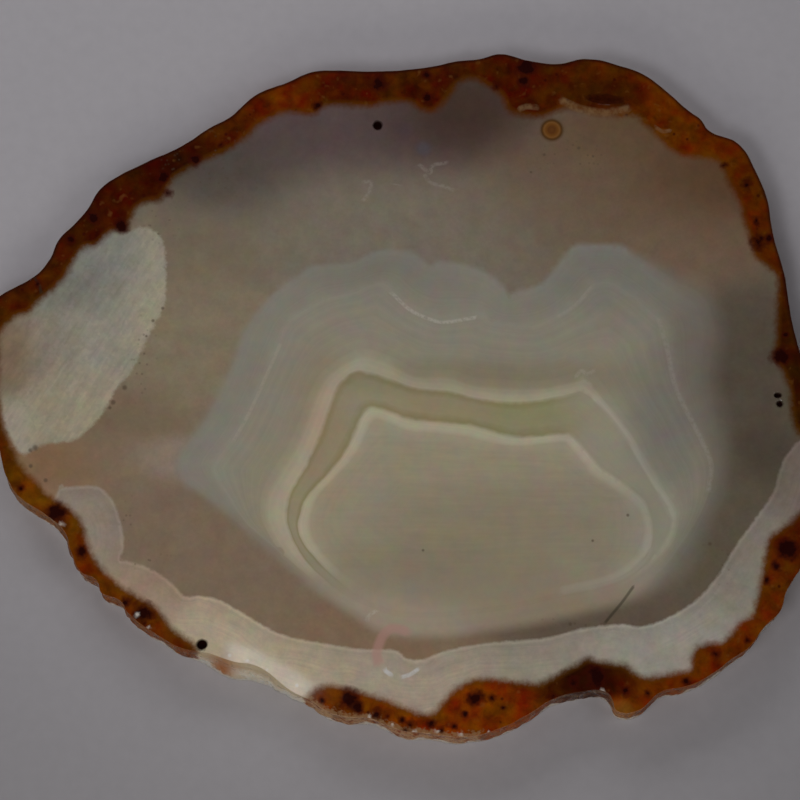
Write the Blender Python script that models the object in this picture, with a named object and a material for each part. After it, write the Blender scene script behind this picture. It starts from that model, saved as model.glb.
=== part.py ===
"""Agate slice: one sawn and polished slice of a banded nodule, lying on its flat sawn back.

Sizes are in millimetres and the scene is in metres, with +Z up. The origin is under the middle of
the slice's bounding box, on the surface that it lies on. +X runs along the longest side of the slice.
"""

import math

import bpy
import bmesh
from mathutils import Vector, noise

MM = 0.001
COLLECTION = "agate slice"

# Driving sizes of the slice
THICKNESS = 5.0
OUTLINE = [
    (-52.8, 4.8), (-52.1, 10.4), (-50.6, 12.0), (-46.5, 14.4), (-44.4, 16.7), (-43.2, 19.4),
    (-41.4, 21.4), (-39.8, 23.3), (-38.3, 25.8), (-35.8, 27.8), (-32.6, 29.4), (-28.2, 31.5),
    (-24.4, 34.1), (-21.8, 35.6), (-19.4, 37.8), (-18.1, 38.8), (-14.3, 40.2), (-11.7, 41.5),
    (-9.8, 41.8), (-4.5, 41.6), (2.4, 42.0), (6.9, 42.9), (10.1, 43.3), (12.6, 43.9),
    (16.6, 43.0), (20.4, 42.7), (23.4, 43.3), (28.0, 42.4), (31.6, 40.9), (33.6, 39.3),
    (37.0, 36.2), (38.3, 35.2), (39.2, 33.8), (43.1, 31.9), (44.9, 28.7), (46.4, 24.7),
    (46.9, 20.9), (48.4, 14.6), (49.1, 9.3), (51.0, 1.1), (52.5, -6.2), (52.8, -10.3),
    (52.2, -16.4), (49.6, -22.5), (47.6, -25.8), (46.7, -28.4), (44.7, -30.4), (43.0, -32.6),
    (40.6, -34.3), (38.1, -36.2), (35.0, -37.7), (31.9, -38.3), (28.7, -40.8), (26.5, -40.7),
    (25.7, -39.0), (25.1, -38.4), (22.0, -38.4), (18.4, -39.4), (15.7, -41.1), (12.2, -42.9),
    (7.6, -43.9), (3.0, -43.4), (0.6, -43.3), (-1.6, -42.5), (-4.1, -41.6), (-6.6, -41.5),
    (-9.4, -40.6), (-11.1, -39.4), (-14.3, -38.0), (-17.4, -36.4), (-21.6, -35.7), (-24.9, -33.9),
    (-28.6, -32.2), (-33.7, -28.6), (-34.6, -27.2), (-36.9, -26.1), (-37.7, -24.5), (-39.6, -23.5),
    (-40.9, -20.8), (-41.8, -18.4), (-44.0, -16.5), (-47.6, -13.9), (-49.2, -11.5), (-50.2, -7.7),
    (-52.1, -1.3),
]

# The natural rind round the edge: its lumps and grain, which fade towards the two sawn edges
CURVE_STEPS = 5
WALL_ROWS = 5
LUMP_SIZE = 3.6
LUMP_DEPTH = 0.42
GRAIN_SIZE = 1.3
GRAIN_DEPTH = 0.16
EDGE_SHARE = 0.25

# The wall leans: on the near side the face is the smaller of the two sawn faces
WALL_LEAN = 0.45

# The sloping ledge low on the left, where the wall falls away from the face
LEDGE_CENTRE = (-19.6, -35.8)
LEDGE_REACH = 6.0
LEDGE_DEPTH = 1.35
LEDGE_FALL = 4

# Limits for telling the two sawn faces from the wall, for welding and for sharp edges
SAWN_FACE_NORMAL = 0.9
WELD_DISTANCE = 1e-6
SHARP_ANGLE = 40.0
COLUMN_DECIMALS = 7

# Finishes: linear red, green and blue, then roughness
POLISHED_CHALCEDONY = ((0.38, 0.34, 0.26), 0.18)
IRON_STAINED_RIND = ((0.20, 0.07, 0.02), 0.65)
QUARTZ_IOR = 1.54

# Open pits in the polished face: centre, half length, half width, turn in degrees, depth
PITS = {
    "pit_near_ledge": ((-24.5, -32.1), 0.72, 0.65, 20.0, 0.6),
    "pit_under_top_rim": ((-3.0, 34.4), 0.62, 0.62, 0.0, 0.5),
    "pit_right_upper": ((47.1, -0.8), 0.5, 0.36, 0.0, 0.4),
    "pit_right_lower": ((47.3, -1.9), 0.42, 0.42, 0.0, 0.4),
    "vug_in_top_rim": ((26.1, 37.9), 2.6, 0.6, -3.0, 0.55),
}
PIT_SEGMENTS = 14
PIT_RINGS = 8
PIT_RISE = 0.35


def make_collection(name, parent):
    collection = bpy.data.collections.new(name)
    parent.children.link(collection)
    return collection


def stone_material(name, finish):
    """A Principled material of one colour and one roughness."""
    colour, roughness = finish
    material = bpy.data.materials.new(name)
    material.use_nodes = True
    shader = material.node_tree.nodes["Principled BSDF"]
    shader.inputs["Base Color"].default_value = (*colour, 1.0)
    shader.inputs["Roughness"].default_value = roughness
    shader.inputs["Metallic"].default_value = 0.0
    shader.inputs["IOR"].default_value = QUARTZ_IOR
    return material


def outline_block(collection):
    """The outline as a closed smooth curve, extruded to the full thickness and made a mesh."""
    curve = bpy.data.curves.new("outline", "CURVE")
    curve.dimensions = "2D"
    curve.fill_mode = "BOTH"
    curve.extrude = THICKNESS * MM / 2
    curve.resolution_u = CURVE_STEPS
    spline = curve.splines.new("BEZIER")
    spline.use_cyclic_u = True
    spline.bezier_points.add(len(OUTLINE) - 1)
    for point, (x, y) in zip(spline.bezier_points, OUTLINE):
        point.co = (x * MM, y * MM, 0.0)
        point.handle_left_type = "AUTO"
        point.handle_right_type = "AUTO"
    guide = bpy.data.objects.new("outline", curve)
    guide.location.z = THICKNESS * MM / 2
    collection.objects.link(guide)
    bpy.context.view_layer.update()

    evaluated = guide.evaluated_get(bpy.context.evaluated_depsgraph_get())
    mesh = bpy.data.meshes.new_from_object(evaluated)
    block = bpy.data.objects.new("agate_slice", mesh)
    mesh.name = "agate_slice"
    block.matrix_world = guide.matrix_world.copy()
    collection.objects.link(block)
    bpy.data.objects.remove(guide)
    return block


def weld_into_block(bm):
    """Welds the loose caps to the sides and makes each cap one flat face."""
    bmesh.ops.remove_doubles(bm, verts=bm.verts, dist=WELD_DISTANCE)
    bmesh.ops.recalc_face_normals(bm, faces=bm.faces)
    for side in (1.0, -1.0):
        cap = [face for face in bm.faces if face.normal.z * side > SAWN_FACE_NORMAL]
        bmesh.ops.dissolve_faces(bm, faces=cap)


def rows_up_the_wall(bm):
    upright = [edge for edge in bm.edges if abs(edge.verts[0].co.z - edge.verts[1].co.z) > MM]
    bmesh.ops.subdivide_edges(bm, edges=upright, cuts=WALL_ROWS - 1, use_grid_fill=False)


def column_key(place):
    return (round(place.x, COLUMN_DECIMALS), round(place.y, COLUMN_DECIMALS))


def wall_columns(bm):
    """Each point of the outline with its outward direction and the wall's points above it."""
    above = {}
    for vert in bm.verts:
        above.setdefault(column_key(vert.co), []).append(vert)
    back = min(bm.faces, key=lambda face: face.normal.z)
    ring = [vert.co.to_2d() for vert in back.verts]
    turn = 1.0 if sum(a.cross(b) for a, b in zip(ring, ring[1:] + ring[:1])) > 0 else -1.0
    columns = []
    for i, point in enumerate(ring):
        along = (ring[(i + 1) % len(ring)] - ring[i - 1]).normalized() * turn
        outward = Vector((along.y, -along.x))
        columns.append((point, outward, above[column_key(point)]))
    return columns


def inset_at(x, y, facing_near, height):
    """How far the rind lies inside the outline, in mm: height is 0 at the back and 1 at the face."""
    lean = WALL_LEAN * (height * max(facing_near, 0.0) + (1.0 - height) * max(-facing_near, 0.0))
    away = math.hypot(x - LEDGE_CENTRE[0], y - LEDGE_CENTRE[1]) / LEDGE_REACH
    ledge = LEDGE_DEPTH * math.exp(-away ** LEDGE_FALL) * height
    place = Vector((x, y, height * THICKNESS))
    rough = LUMP_DEPTH * noise.noise(place / LUMP_SIZE) + GRAIN_DEPTH * noise.noise(place / GRAIN_SIZE)
    middle = EDGE_SHARE + (1.0 - EDGE_SHARE) * math.sin(math.pi * height)
    return lean + ledge + rough * middle


def roughen_wall(bm):
    for point, outward, verts in wall_columns(bm):
        x, y = point / MM
        for vert in verts:
            height = vert.co.z / (THICKNESS * MM)
            inset = inset_at(x, y, -outward.y, height) * MM
            vert.co.x -= outward.x * inset
            vert.co.y -= outward.y * inset


def centre_on_origin(bm):
    """Moves the slice so that the middle of its bounding box is over the origin."""
    for axis in (0, 1):
        values = [vert.co[axis] for vert in bm.verts]
        middle = (min(values) + max(values)) / 2
        for vert in bm.verts:
            vert.co[axis] -= middle


def pit_cutter(name, place, half_length, half_width, turn, depth, collection):
    """A flattened ball, most of it above the face, that leaves a round-bottomed pit."""
    mesh = bpy.data.meshes.new(name)
    bm = bmesh.new()
    bmesh.ops.create_uvsphere(bm, u_segments=PIT_SEGMENTS, v_segments=PIT_RINGS, radius=1.0)
    widen = 1.0 / math.sqrt(1.0 - (PIT_RISE / (depth + PIT_RISE)) ** 2)
    size = Vector((half_length * widen, half_width * widen, depth + PIT_RISE)) * MM
    bmesh.ops.scale(bm, vec=size, verts=bm.verts)
    bm.to_mesh(mesh)
    bm.free()
    cutter = bpy.data.objects.new(name, mesh)
    cutter.location = (place[0] * MM, place[1] * MM, (THICKNESS + PIT_RISE) * MM)
    cutter.rotation_euler.z = math.radians(turn)
    cutter.hide_render = True
    cutter.display_type = "WIRE"
    collection.objects.link(cutter)
    return cutter


def shape_slice(parts, cutters):
    block = outline_block(parts)
    bm = bmesh.new()
    bm.from_mesh(block.data)
    bm.transform(block.matrix_world)
    block.matrix_world.identity()
    weld_into_block(bm)
    rows_up_the_wall(bm)
    roughen_wall(bm)
    centre_on_origin(bm)
    bm.normal_update()
    for face in bm.faces:
        face.material_index = 0 if abs(face.normal.z) > SAWN_FACE_NORMAL else 1
    bm.to_mesh(block.data)
    bm.free()
    for name, (place, half_length, half_width, turn, depth) in PITS.items():
        cut = block.modifiers.new(name, "BOOLEAN")
        cut.operation = "DIFFERENCE"
        cut.solver = "EXACT"
        cut.object = pit_cutter(name, place, half_length, half_width, turn, depth, cutters)
    block.data.shade_smooth()
    block.data.set_sharp_from_angle(angle=math.radians(SHARP_ANGLE))
    return block


for old in list(bpy.data.objects):
    bpy.data.objects.remove(old)

parts = make_collection(COLLECTION, bpy.context.scene.collection)
cutters = make_collection("cutters", bpy.context.scene.collection)
agate = shape_slice(parts, cutters)
agate.data.materials.clear()
agate.data.materials.append(stone_material("polished chalcedony", POLISHED_CHALCEDONY))
agate.data.materials.append(stone_material("iron-stained rind", IRON_STAINED_RIND))
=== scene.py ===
"""The agate slice with its finish: the polished face, the sawn back and the natural rind between them.

Sizes here are in millimetres in the frame's own axes, with +Z up out of the polished face. MM turns
them to Blender's metres.
"""

import math

import bmesh
import bpy
import numpy as np
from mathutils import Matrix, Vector, geometry, kdtree, noise
from mathutils.bvhtree import BVHTree


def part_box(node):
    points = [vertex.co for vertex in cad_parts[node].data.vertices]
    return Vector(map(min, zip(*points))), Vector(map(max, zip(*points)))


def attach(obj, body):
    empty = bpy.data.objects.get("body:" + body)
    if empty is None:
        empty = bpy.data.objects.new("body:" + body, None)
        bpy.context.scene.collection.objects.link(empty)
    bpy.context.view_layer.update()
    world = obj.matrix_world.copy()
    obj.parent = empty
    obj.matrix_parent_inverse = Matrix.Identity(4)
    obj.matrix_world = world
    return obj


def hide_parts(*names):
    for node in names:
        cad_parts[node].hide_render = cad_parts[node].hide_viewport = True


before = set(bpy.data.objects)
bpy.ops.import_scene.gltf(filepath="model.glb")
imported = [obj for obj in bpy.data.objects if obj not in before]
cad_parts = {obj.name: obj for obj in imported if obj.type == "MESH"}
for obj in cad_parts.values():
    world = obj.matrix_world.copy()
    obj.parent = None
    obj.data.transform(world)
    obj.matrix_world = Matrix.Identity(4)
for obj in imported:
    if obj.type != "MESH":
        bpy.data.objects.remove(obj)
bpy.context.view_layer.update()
scene = bpy.context.scene

# Sawn outline
# The slice was sawn from a nodule, so its outline is the nodule's own lumpy skin. It is read from
# the frame's solid, where the polished face meets the wall, and drawn again with finer points.
MM = 0.001
WELD_DISTANCE = 1e-5
FACE_NORMAL = 0.99
FACE_GAP = 0.01
OUTLINE_STEP = 0.3
CURVE_PARTS = 12


def smooth_curve(points, step, closed=True):
    """A Catmull-Rom curve through the points, given back as points that are a step apart."""
    knots = np.array(points, float)
    if closed:
        start, after = knots, np.roll(knots, -1, 0)
        before, beyond = np.roll(knots, 1, 0), np.roll(knots, -2, 0)
    else:
        start, after = knots[:-1], knots[1:]
        before = np.vstack([2 * knots[0] - knots[1], knots[:-2]])
        beyond = np.vstack([knots[2:], 2 * knots[-1] - knots[-2]])
    t = np.linspace(0, 1, CURVE_PARTS, endpoint=False)[:, None, None]
    curve = start + 0.5 * ((after - before) * t
                           + (2 * before - 5 * start + 4 * after - beyond) * t ** 2
                           + (3 * start - before - 3 * after + beyond) * t ** 3)
    dense = np.vstack([curve.transpose(1, 0, 2).reshape(-1, 2), knots[:1] if closed else knots[-1:]])
    along = np.concatenate([[0], np.cumsum(np.linalg.norm(np.diff(dense, axis=0), axis=1))])
    places = np.linspace(0, along[-1], max(2, round(along[-1] / step)) + 1)
    if closed:
        places = places[:-1]
    return np.column_stack([np.interp(places, along, dense[:, axis]) for axis in (0, 1)])


def longest_loop(edges):
    """Chains a solid's edges into loops and gives the points of the longest one, turning left."""
    beside = {}
    for edge in edges:
        for vert in edge.verts:
            beside.setdefault(vert, []).append(edge.other_vert(vert))
    best, best_length = None, 0.0
    while beside:
        start = next(iter(beside))
        chain, last, here = [start], None, start
        while True:
            onward = [vert for vert in beside[here] if vert is not last and vert in beside]
            del beside[here]
            if not onward or onward[0] is start:
                break
            last, here = here, onward[0]
            chain.append(here)
        points = np.array([vert.co.xy for vert in chain])
        length = np.linalg.norm(points - np.roll(points, 1, 0), axis=1).sum()
        if length > best_length:
            best, best_length = points, length
    x, y = best.T
    turns_left = (x * np.roll(y, -1) - y * np.roll(x, -1)).sum() > 0
    return best if turns_left else best[::-1]


solid = bmesh.new()
solid.from_mesh(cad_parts["agate_slice"].data)
bmesh.ops.scale(solid, vec=Vector((1, 1, 1)) / MM, verts=solid.verts)
bmesh.ops.remove_doubles(solid, verts=solid.verts, dist=WELD_DISTANCE)
solid.normal_update()
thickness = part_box("agate_slice")[1].z / MM
polished = {face for face in solid.faces if face.normal.z > FACE_NORMAL
            and min(vert.co.z for vert in face.verts) > thickness - FACE_GAP}
solid_wall = BVHTree.FromBMesh(solid)
face_edges = [edge for edge in solid.edges if sum(face in polished for face in edge.link_faces) == 1]
outline = smooth_curve(longest_loop(face_edges), OUTLINE_STEP)
solid.free()


def finder_of(points):
    """A tree that finds the nearest of the points."""
    finder = kdtree.KDTree(len(points))
    for number, (x, y) in enumerate(points):
        finder.insert((x, y, 0.0), number)
    finder.balance()
    return finder


def signed_distance(points, loop):
    """How far inside a closed loop each point lies, in mm: it is negative outside."""
    finder = finder_of(loop)
    nearest = np.array([finder.find((x, y, 0.0))[1] for x, y in points])
    away = np.full(len(points), np.inf)
    for first in (nearest - 1, nearest):
        a, b = loop[first], loop[(first + 1) % len(loop)]
        share = np.clip(((points - a) * (b - a)).sum(1) / ((b - a) ** 2).sum(1), 0, 1)[:, None]
        away = np.minimum(away, np.linalg.norm(points - a - share * (b - a), axis=1))
    inside = np.zeros(len(points), bool)
    for (x1, y1), (x2, y2) in zip(loop, np.roll(loop, -1, 0)):
        if y1 != y2:
            level = np.nonzero((points[:, 1] > min(y1, y2)) & (points[:, 1] <= max(y1, y2)))[0]
            inside[level] ^= points[level, 0] < x1 + (points[level, 1] - y1) * (x2 - x1) / (y2 - y1)
    return np.where(inside, away, -away)


# Iron-stained rim
# The outer few millimetres of the nodule are chalcedony stained by iron from outside: honey orange to
# dark brown, with red-black clots of iron oxide. This loop is its inner border. Where the loop leaves
# the slice, the white band reaches the edge and there is no stain.
RIM_BORDER = [
    (-50.4, 4), (-50.3, 7.1), (-48.5, 9.2), (-46.9, 9.7), (-45.4, 11.4), (-42.8, 13.8), (-41.1, 16.7),
    (-40, 18.2), (-38.4, 18.6), (-36.6, 20.3), (-34.8, 20.6), (-33.5, 23.3), (-31.9, 24.2), (-30.3, 24.6),
    (-28.8, 27.2), (-25.6, 29.3), (-21.8, 31.1), (-19.3, 33.1), (-18.3, 34.3), (-16.4, 35.3), (-14.5, 36),
    (-11, 35.8), (-10, 36.8), (-7.8, 37), (-4, 36.8), (-2, 37.3), (1.1, 37.3), (2.4, 36.4), (4, 36.1),
    (5.2, 36.9), (6.2, 38.2), (7.2, 39.7), (8.4, 40.4), (9.7, 40.3), (11.7, 39.1), (12.8, 38.1),
    (13.3, 36.8), (14.2, 35.9), (17.7, 35.4), (20.6, 36.4), (22.2, 36.4), (26, 35.6), (29.9, 35.6),
    (30.5, 34.8), (32.4, 33.1), (33.9, 31.5), (35.8, 30.3), (39.9, 29.8), (40.8, 28.5), (41.6, 26.5),
    (42.6, 24.6), (43.3, 21.9), (44, 19.3), (44.5, 17.3), (45.8, 16), (47.3, 14.4), (47.2, 11.1),
    (46.9, 6.3), (46.6, 4.1), (47.5, 2.4), (48.4, -0.1), (48.6, -2.7), (49.1, -5.2), (50.5, -6.2),
    (56, -6.5), (56, -15), (51, -15.2), (49.4, -15.6), (48.1, -16.9), (46.5, -17.9), (45.4, -19.1),
    (44.5, -23.2), (43.7, -26.6), (43.1, -28.5), (41.6, -29.4), (39.5, -31.7), (37.6, -31.9), (36.2, -32.5),
    (35.6, -33.7), (35.4, -35.1), (34.2, -35.4), (30.2, -36.1), (28.4, -35.4), (27.4, -34.5), (24.5, -34.2),
    (22.9, -33.7), (21.7, -34.3), (18.3, -36.1), (16.5, -36.9), (14, -36.6), (9.7, -36.2), (7.9, -36.8),
    (6.3, -37.7), (4.1, -40.2), (2.9, -40.6), (1.4, -40.2), (-2.6, -38.6), (-6.8, -37.4), (-8.9, -37.1),
    (-10.8, -37.6), (-12.2, -39.4), (-14, -44), (-27, -40), (-25.6, -34), (-25, -32.5), (-27.9, -30.2),
    (-29.1, -28.8), (-30.7, -27.2), (-34.9, -24.6), (-37.4, -22), (-38.4, -20.4), (-39.1, -18.2),
    (-40, -16.2), (-41.3, -15), (-44.1, -13.2), (-45.1, -11.9), (-46.4, -10.7), (-47.6, -9.1),
    (-48.5, -7.1), (-49.8, -4.1), (-50.3, 0),
]
# Soft patches of colour: each has its colour, centre, reach both ways and strength
RIM_TONES = {
    "amber": ("#602404", (0, 0), (90, 90), 0.03),
    "brown left end": ("#602706", (-48, 11), (6, 6), 1),
    "dark brown upper left": ("#511903", (-36, 25), (8, 6), 1),
    "dark hollow upper left": ("#3e1202", (-28, 29.5), (4.5, 3), 1.6),
    "orange lump top left": ("#8a3606", (-16.5, 38), (3, 2), 1.4),
    "amber top left": ("#682603", (-20, 35), (8, 5), 1),
    "brown top": ("#602004", (-2, 40), (9, 5), 1),
    "red brown top": ("#591c02", (13, 40), (5, 5), 1.2),
    "olive brown round the vug": ("#692b04", (25, 40), (5, 3.5), 1.2),
    "dark brown over the vug": ("#451503", (26.2, 38.6), (3, 1.3), 4),
    "orange top right": ("#803304", (36, 34), (7, 6), 1),
    "orange upper right": ("#762f04", (45, 23), (4, 7), 1),
    "brown right": ("#4b1e02", (49, 3), (4, 8), 1),
    "brown right end": ("#612403", (49, -19), (4, 4), 0.8),
    "orange lower right": ("#853706", (45, -27), (5, 6), 1),
    "amber beside the notch": ("#883504", (31, -38), (6, 3.5), 1),
    # The tip is partly paler stone and partly painted highlight where the thin tip is lit through
    "pale amber tip, partly painted highlight": ("#a66534", (27, -40), (1.3, 1), 3),
    "nearly black hollow": ("#2e0f02", (22.5, -36.5), (5, 2.3), 2.8),
    "bright orange bottom": ("#993b05", (9, -40), (9, 5), 1.2),
    "amber bottom left": ("#8a3a0b", (-7, -39.5), (5, 3), 1),
    "amber lower left": ("#803a0d", (-34, -27), (9, 6), 1),
    "pale amber left": ("#884a1e", (-45, -12.5), (4, 4), 1),
    "brown left": ("#6d3408", (-51, -4), (2.5, 6), 1.2),
}
# A border wavers with spots of a size and a push, and its stone starts and is full at these depths
RIM_WAVER = (0.9, 1.1, -0.05, 1.15)
RIM_MOTTLE = 1.5
RIM_BLOTCH = 3.6
RIM_BLOTCH_SHARE = 0.6
# A range runs from one noise or depth to another, and has the values at both ends
RIM_LIGHT = (0.55, 1.05, 0.55, 1.5)
RIM_HUE_PATCH = 2.2
RIM_HUES = (0.33, 0.67, 0.489, 0.521)
CRUMB = 0.45
CRUMB_PUSH = 1.8
FLECK = 0.9
FLECK_SHARE = (0.64, 0.8, 0, 0.35)
OLIVE_STRENGTH = 0.4
SCAB_SHARE = (1.5, 1.85, 0, 0.7)
DARK_EDGE_AND_SHADE_SHARE = (0.55, 0.05, 0, 0.85)
DOT_STRENGTH = 0.7
DOT_SPACING = 1.5
DOT_RADIUS = 0.2
DOT_SHARE = 0.3


def linear(hex_colour):
    """An sRGB hex colour as linear red, green, blue and alpha."""
    parts = [int(hex_colour[i:i + 2], 16) / 255 for i in (1, 3, 5)]
    return (*[c / 12.92 if c <= 0.04045 else ((c + 0.055) / 1.055) ** 2.4 for c in parts], 1.0)


def blended_tones(points, tones):
    """Soft patches of colour run into each other."""
    total = np.zeros((len(points), 4))
    for hex_colour, centre, reach, strength in tones.values():
        weight = strength * np.exp(-(((points - centre) / reach) ** 2).sum(1)) + 1e-9
        total += weight[:, None] * np.array([*linear(hex_colour)[:3], 1.0])
    return total[:, :3] / total[:, 3:]


def feed(tree, pairs):
    """Gives each socket its link or its plain value."""
    for socket, value in pairs:
        if isinstance(value, bpy.types.NodeSocket):
            tree.links.new(value, socket)
        else:
            socket.default_value = value


def node(tree, kind, inputs=(), give=0, stops=(), **settings):
    """Adds a shader node with its settings, its ramp's stops, and its values and links, and gives an
    output. Inputs go by name, or in the node's own order where they come as a list."""
    made = tree.nodes.new("ShaderNode" + kind)
    for name, value in settings.items():
        setattr(made, name, value)
    for number, (place, hex_colour) in enumerate(stops):
        ramp = made.color_ramp.elements
        stop = ramp[number] if number < len(ramp) else ramp.new(place)
        stop.position = place
        stop.color = linear(hex_colour)
    open_sockets = [socket for socket in made.inputs if socket.enabled]
    if isinstance(inputs, dict):
        named = {socket.name: socket for socket in open_sockets}
        feed(tree, ((named[name], value) for name, value in inputs.items()))
    else:
        feed(tree, zip(open_sockets, inputs))
    return made.outputs[give] if give else next(socket for socket in made.outputs if socket.enabled)


def wavering_border(tree, place, depth, size, push, bare, full, **grain):
    """A stone's depth in mm with a border that wavers, and how far the stone covers the one below."""
    waver = node(tree, "TexNoise", {"Vector": place, "Scale": 1 / size, **grain})
    border = node(tree, "Math", [waver, push, depth], operation="MULTIPLY_ADD")
    return border, node(tree, "MapRange", [border, bare, full], interpolation_type="SMOOTHSTEP")


def stained_rim(tree, place, below):
    """Lays the rim's amber chalcedony over the colour below it: mottled, and redder where it is dark."""
    depth, edge, crusty = (node(tree, "Attribute", give="Fac", attribute_name=name)
                           for name in ("rim_mm", "edge_mm", "crusty"))
    _, cover = wavering_border(tree, place, depth, *RIM_WAVER, Detail=6, Roughness=0.7)
    tone = node(tree, "Attribute", attribute_name="rim_tone")
    mottle = node(tree, "TexNoise", {"Vector": place, "Scale": 1 / RIM_MOTTLE, "Detail": 5,
                                     "Roughness": 0.58, "Distortion": 0.25})
    blotch, ochre, flecks = [
        node(tree, "TexNoise", {"Vector": place, "Scale": 1 / size, "Detail": detail, "W": seed},
             noise_dimensions="4D")
        for size, detail, seed in ((RIM_BLOTCH, 2, 4), (RIM_HUE_PATCH, 3, 9), (FLECK, 1, 2))]
    crumbs = node(tree, "TexNoise", {"Vector": place, "Scale": 1 / CRUMB, "Detail": 3, "Roughness": 0.6})
    mixed = node(tree, "Math", [blotch, RIM_BLOTCH_SHARE, mottle], operation="MULTIPLY_ADD")
    light = node(tree, "MapRange", [mixed, *RIM_LIGHT])
    hue = node(tree, "MapRange", [ochre, *RIM_HUES])
    body = node(tree, "HueSaturation", {"Color": tone, "Value": light, "Hue": hue, "Saturation": 1.05})
    fleck = node(tree, "MapRange", [flecks, *FLECK_SHARE])
    inner = node(tree, "ValToRGB", [depth], stops=[(0, "#ffffff"), (0.5, "#ffffff"), (0.95, "#000000")])
    olive = node(tree, "Math", [inner, OLIVE_STRENGTH], operation="MULTIPLY")
    crumbly = node(tree, "Math", [crumbs, CRUMB_PUSH, crusty], operation="MULTIPLY_ADD")
    scab = node(tree, "MapRange", [crumbly, *SCAB_SHARE])
    # Dark line along the outer edge: partly the dark rind, partly painted shade, kept to the far side
    rind = node(tree, "MapRange", [edge, *DARK_EDGE_AND_SHADE_SHARE], interpolation_type="SMOOTHSTEP")
    distance = node(tree, "TexVoronoi", {"Vector": place, "Scale": 1 / DOT_SPACING})
    dotted = node(tree, "MapRange", [distance, 1.5 * DOT_RADIUS / DOT_SPACING,
                                     0.5 * DOT_RADIUS / DOT_SPACING, 0, DOT_STRENGTH],
                  interpolation_type="SMOOTHSTEP")
    chance = node(tree, "SeparateColor", [distance.node.outputs["Color"]], give="Red")
    chosen = node(tree, "Math", [chance, DOT_SHARE], operation="LESS_THAN")
    dot = node(tree, "Math", [dotted, chosen], operation="MULTIPLY")
    for share, hex_colour in ((fleck, "#a06c34"), (olive, "#7c4c10"), (scab, "#b58f64"), (rind, "#35120a"),
                              (dot, "#450f06")):
        body = node(tree, "Mix", [share, body, linear(hex_colour)], data_type="RGBA")
    return node(tree, "Mix", [cover, below, body], data_type="RGBA"), cover


# Clear chalcedony
# The first stone that filled the nodule inside the rim: cloudy, see-through to a millimetre or two,
# and tinted in soft patches, from violet grey at the top to beige, brown and amber.
CLEAR_TONES = {
    "grey beige": ("#a89881", (0, 0), (90, 90), 0.02),
    "violet under the top rim": ("#796563", (-6, 36), (17, 6.5), 1),
    "dark violet beside the rim's notch": ("#533c29", (6.5, 36.2), (6.5, 4.2), 1.4),
    "grey below the violet": ("#a99d89", (-3, 21), (20, 6), 1),
    "shade at the upper left": ("#6b6159", (-22, 28), (7, 5), 1),
    "warm grey at the top right": ("#987e64", (26, 26), (12, 7), 1),
    "shade under the vug": ("#876b4d", (29.5, 33), (7, 3), 1),
    "brown at the far right": ("#7b573a", (37, 27), (7, 6), 1),
    "tan above the centre's right shoulder": ("#a68c72", (34, 20), (7, 4), 1),
    "shade on the right": ("#7a6e5d", (44, 2), (5, 6.5), 1),
    "dark patch on the right": ("#6a5f50", (45, -8.5), (3, 3), 1.2),
    "shade at the lower right": ("#867a65", (41, -16), (7, 8), 1),
    "strip under the centre": ("#8a7966", (24, -28.5), (10, 3), 1),
    "tan under the centre's left": ("#b39677", (-4, -31), (9, 4), 1),
    "brown at the lower left": ("#ae967c", (-22, -20), (14, 8), 1),
    "amber at the left end": ("#bb9777", (-44, -11), (5, 4), 1),
    "brown beside the lens": ("#a79075", (-33, -4), (6, 3.5), 1),
    "beige right of the lens": ("#b6a688", (-26, 7), (7, 10), 1),
    "beige at the left": ("#9e8d75", (-25, 18), (6, 4), 1),
    "grey bubble": ("#70666b", (2.8, 31.3), (0.55, 0.55), 9),
    "dim bubble": ("#685756", (0.4, 33.8), (0.7, 0.7), 7),
}
# Soft spots have a size, and make the stone so dark and so light. Noise mostly stays in the spread.
CLEAR_CLOUD = (2.6, 0.93, 1.07)
CLEAR_GRAIN = (0.4, 0.955, 1.045)
NOISE_SPREAD = (0.3, 0.7)


def mottled(tree, place, colour, size, dark, light, spread=NOISE_SPREAD, **grain):
    """Darkens and lightens a colour in soft spots of a size in mm, where the noise spreads so far."""
    cloud = node(tree, "TexNoise", {"Vector": place, "Scale": 1 / size, **grain})
    value = node(tree, "MapRange", [cloud, *spread, dark, light])
    return node(tree, "HueSaturation", {"Color": colour, "Value": value})


def clear_chalcedony(tree, place):
    """Cloudy stone: broad tints with fine mottling."""
    tone = node(tree, "Attribute", attribute_name="clear_tone")
    cloudy = mottled(tree, place, tone, *CLEAR_CLOUD, Detail=6, Roughness=0.6)
    return mottled(tree, place, cloudy, *CLEAR_GRAIN, Detail=3, Roughness=0.7)


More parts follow.
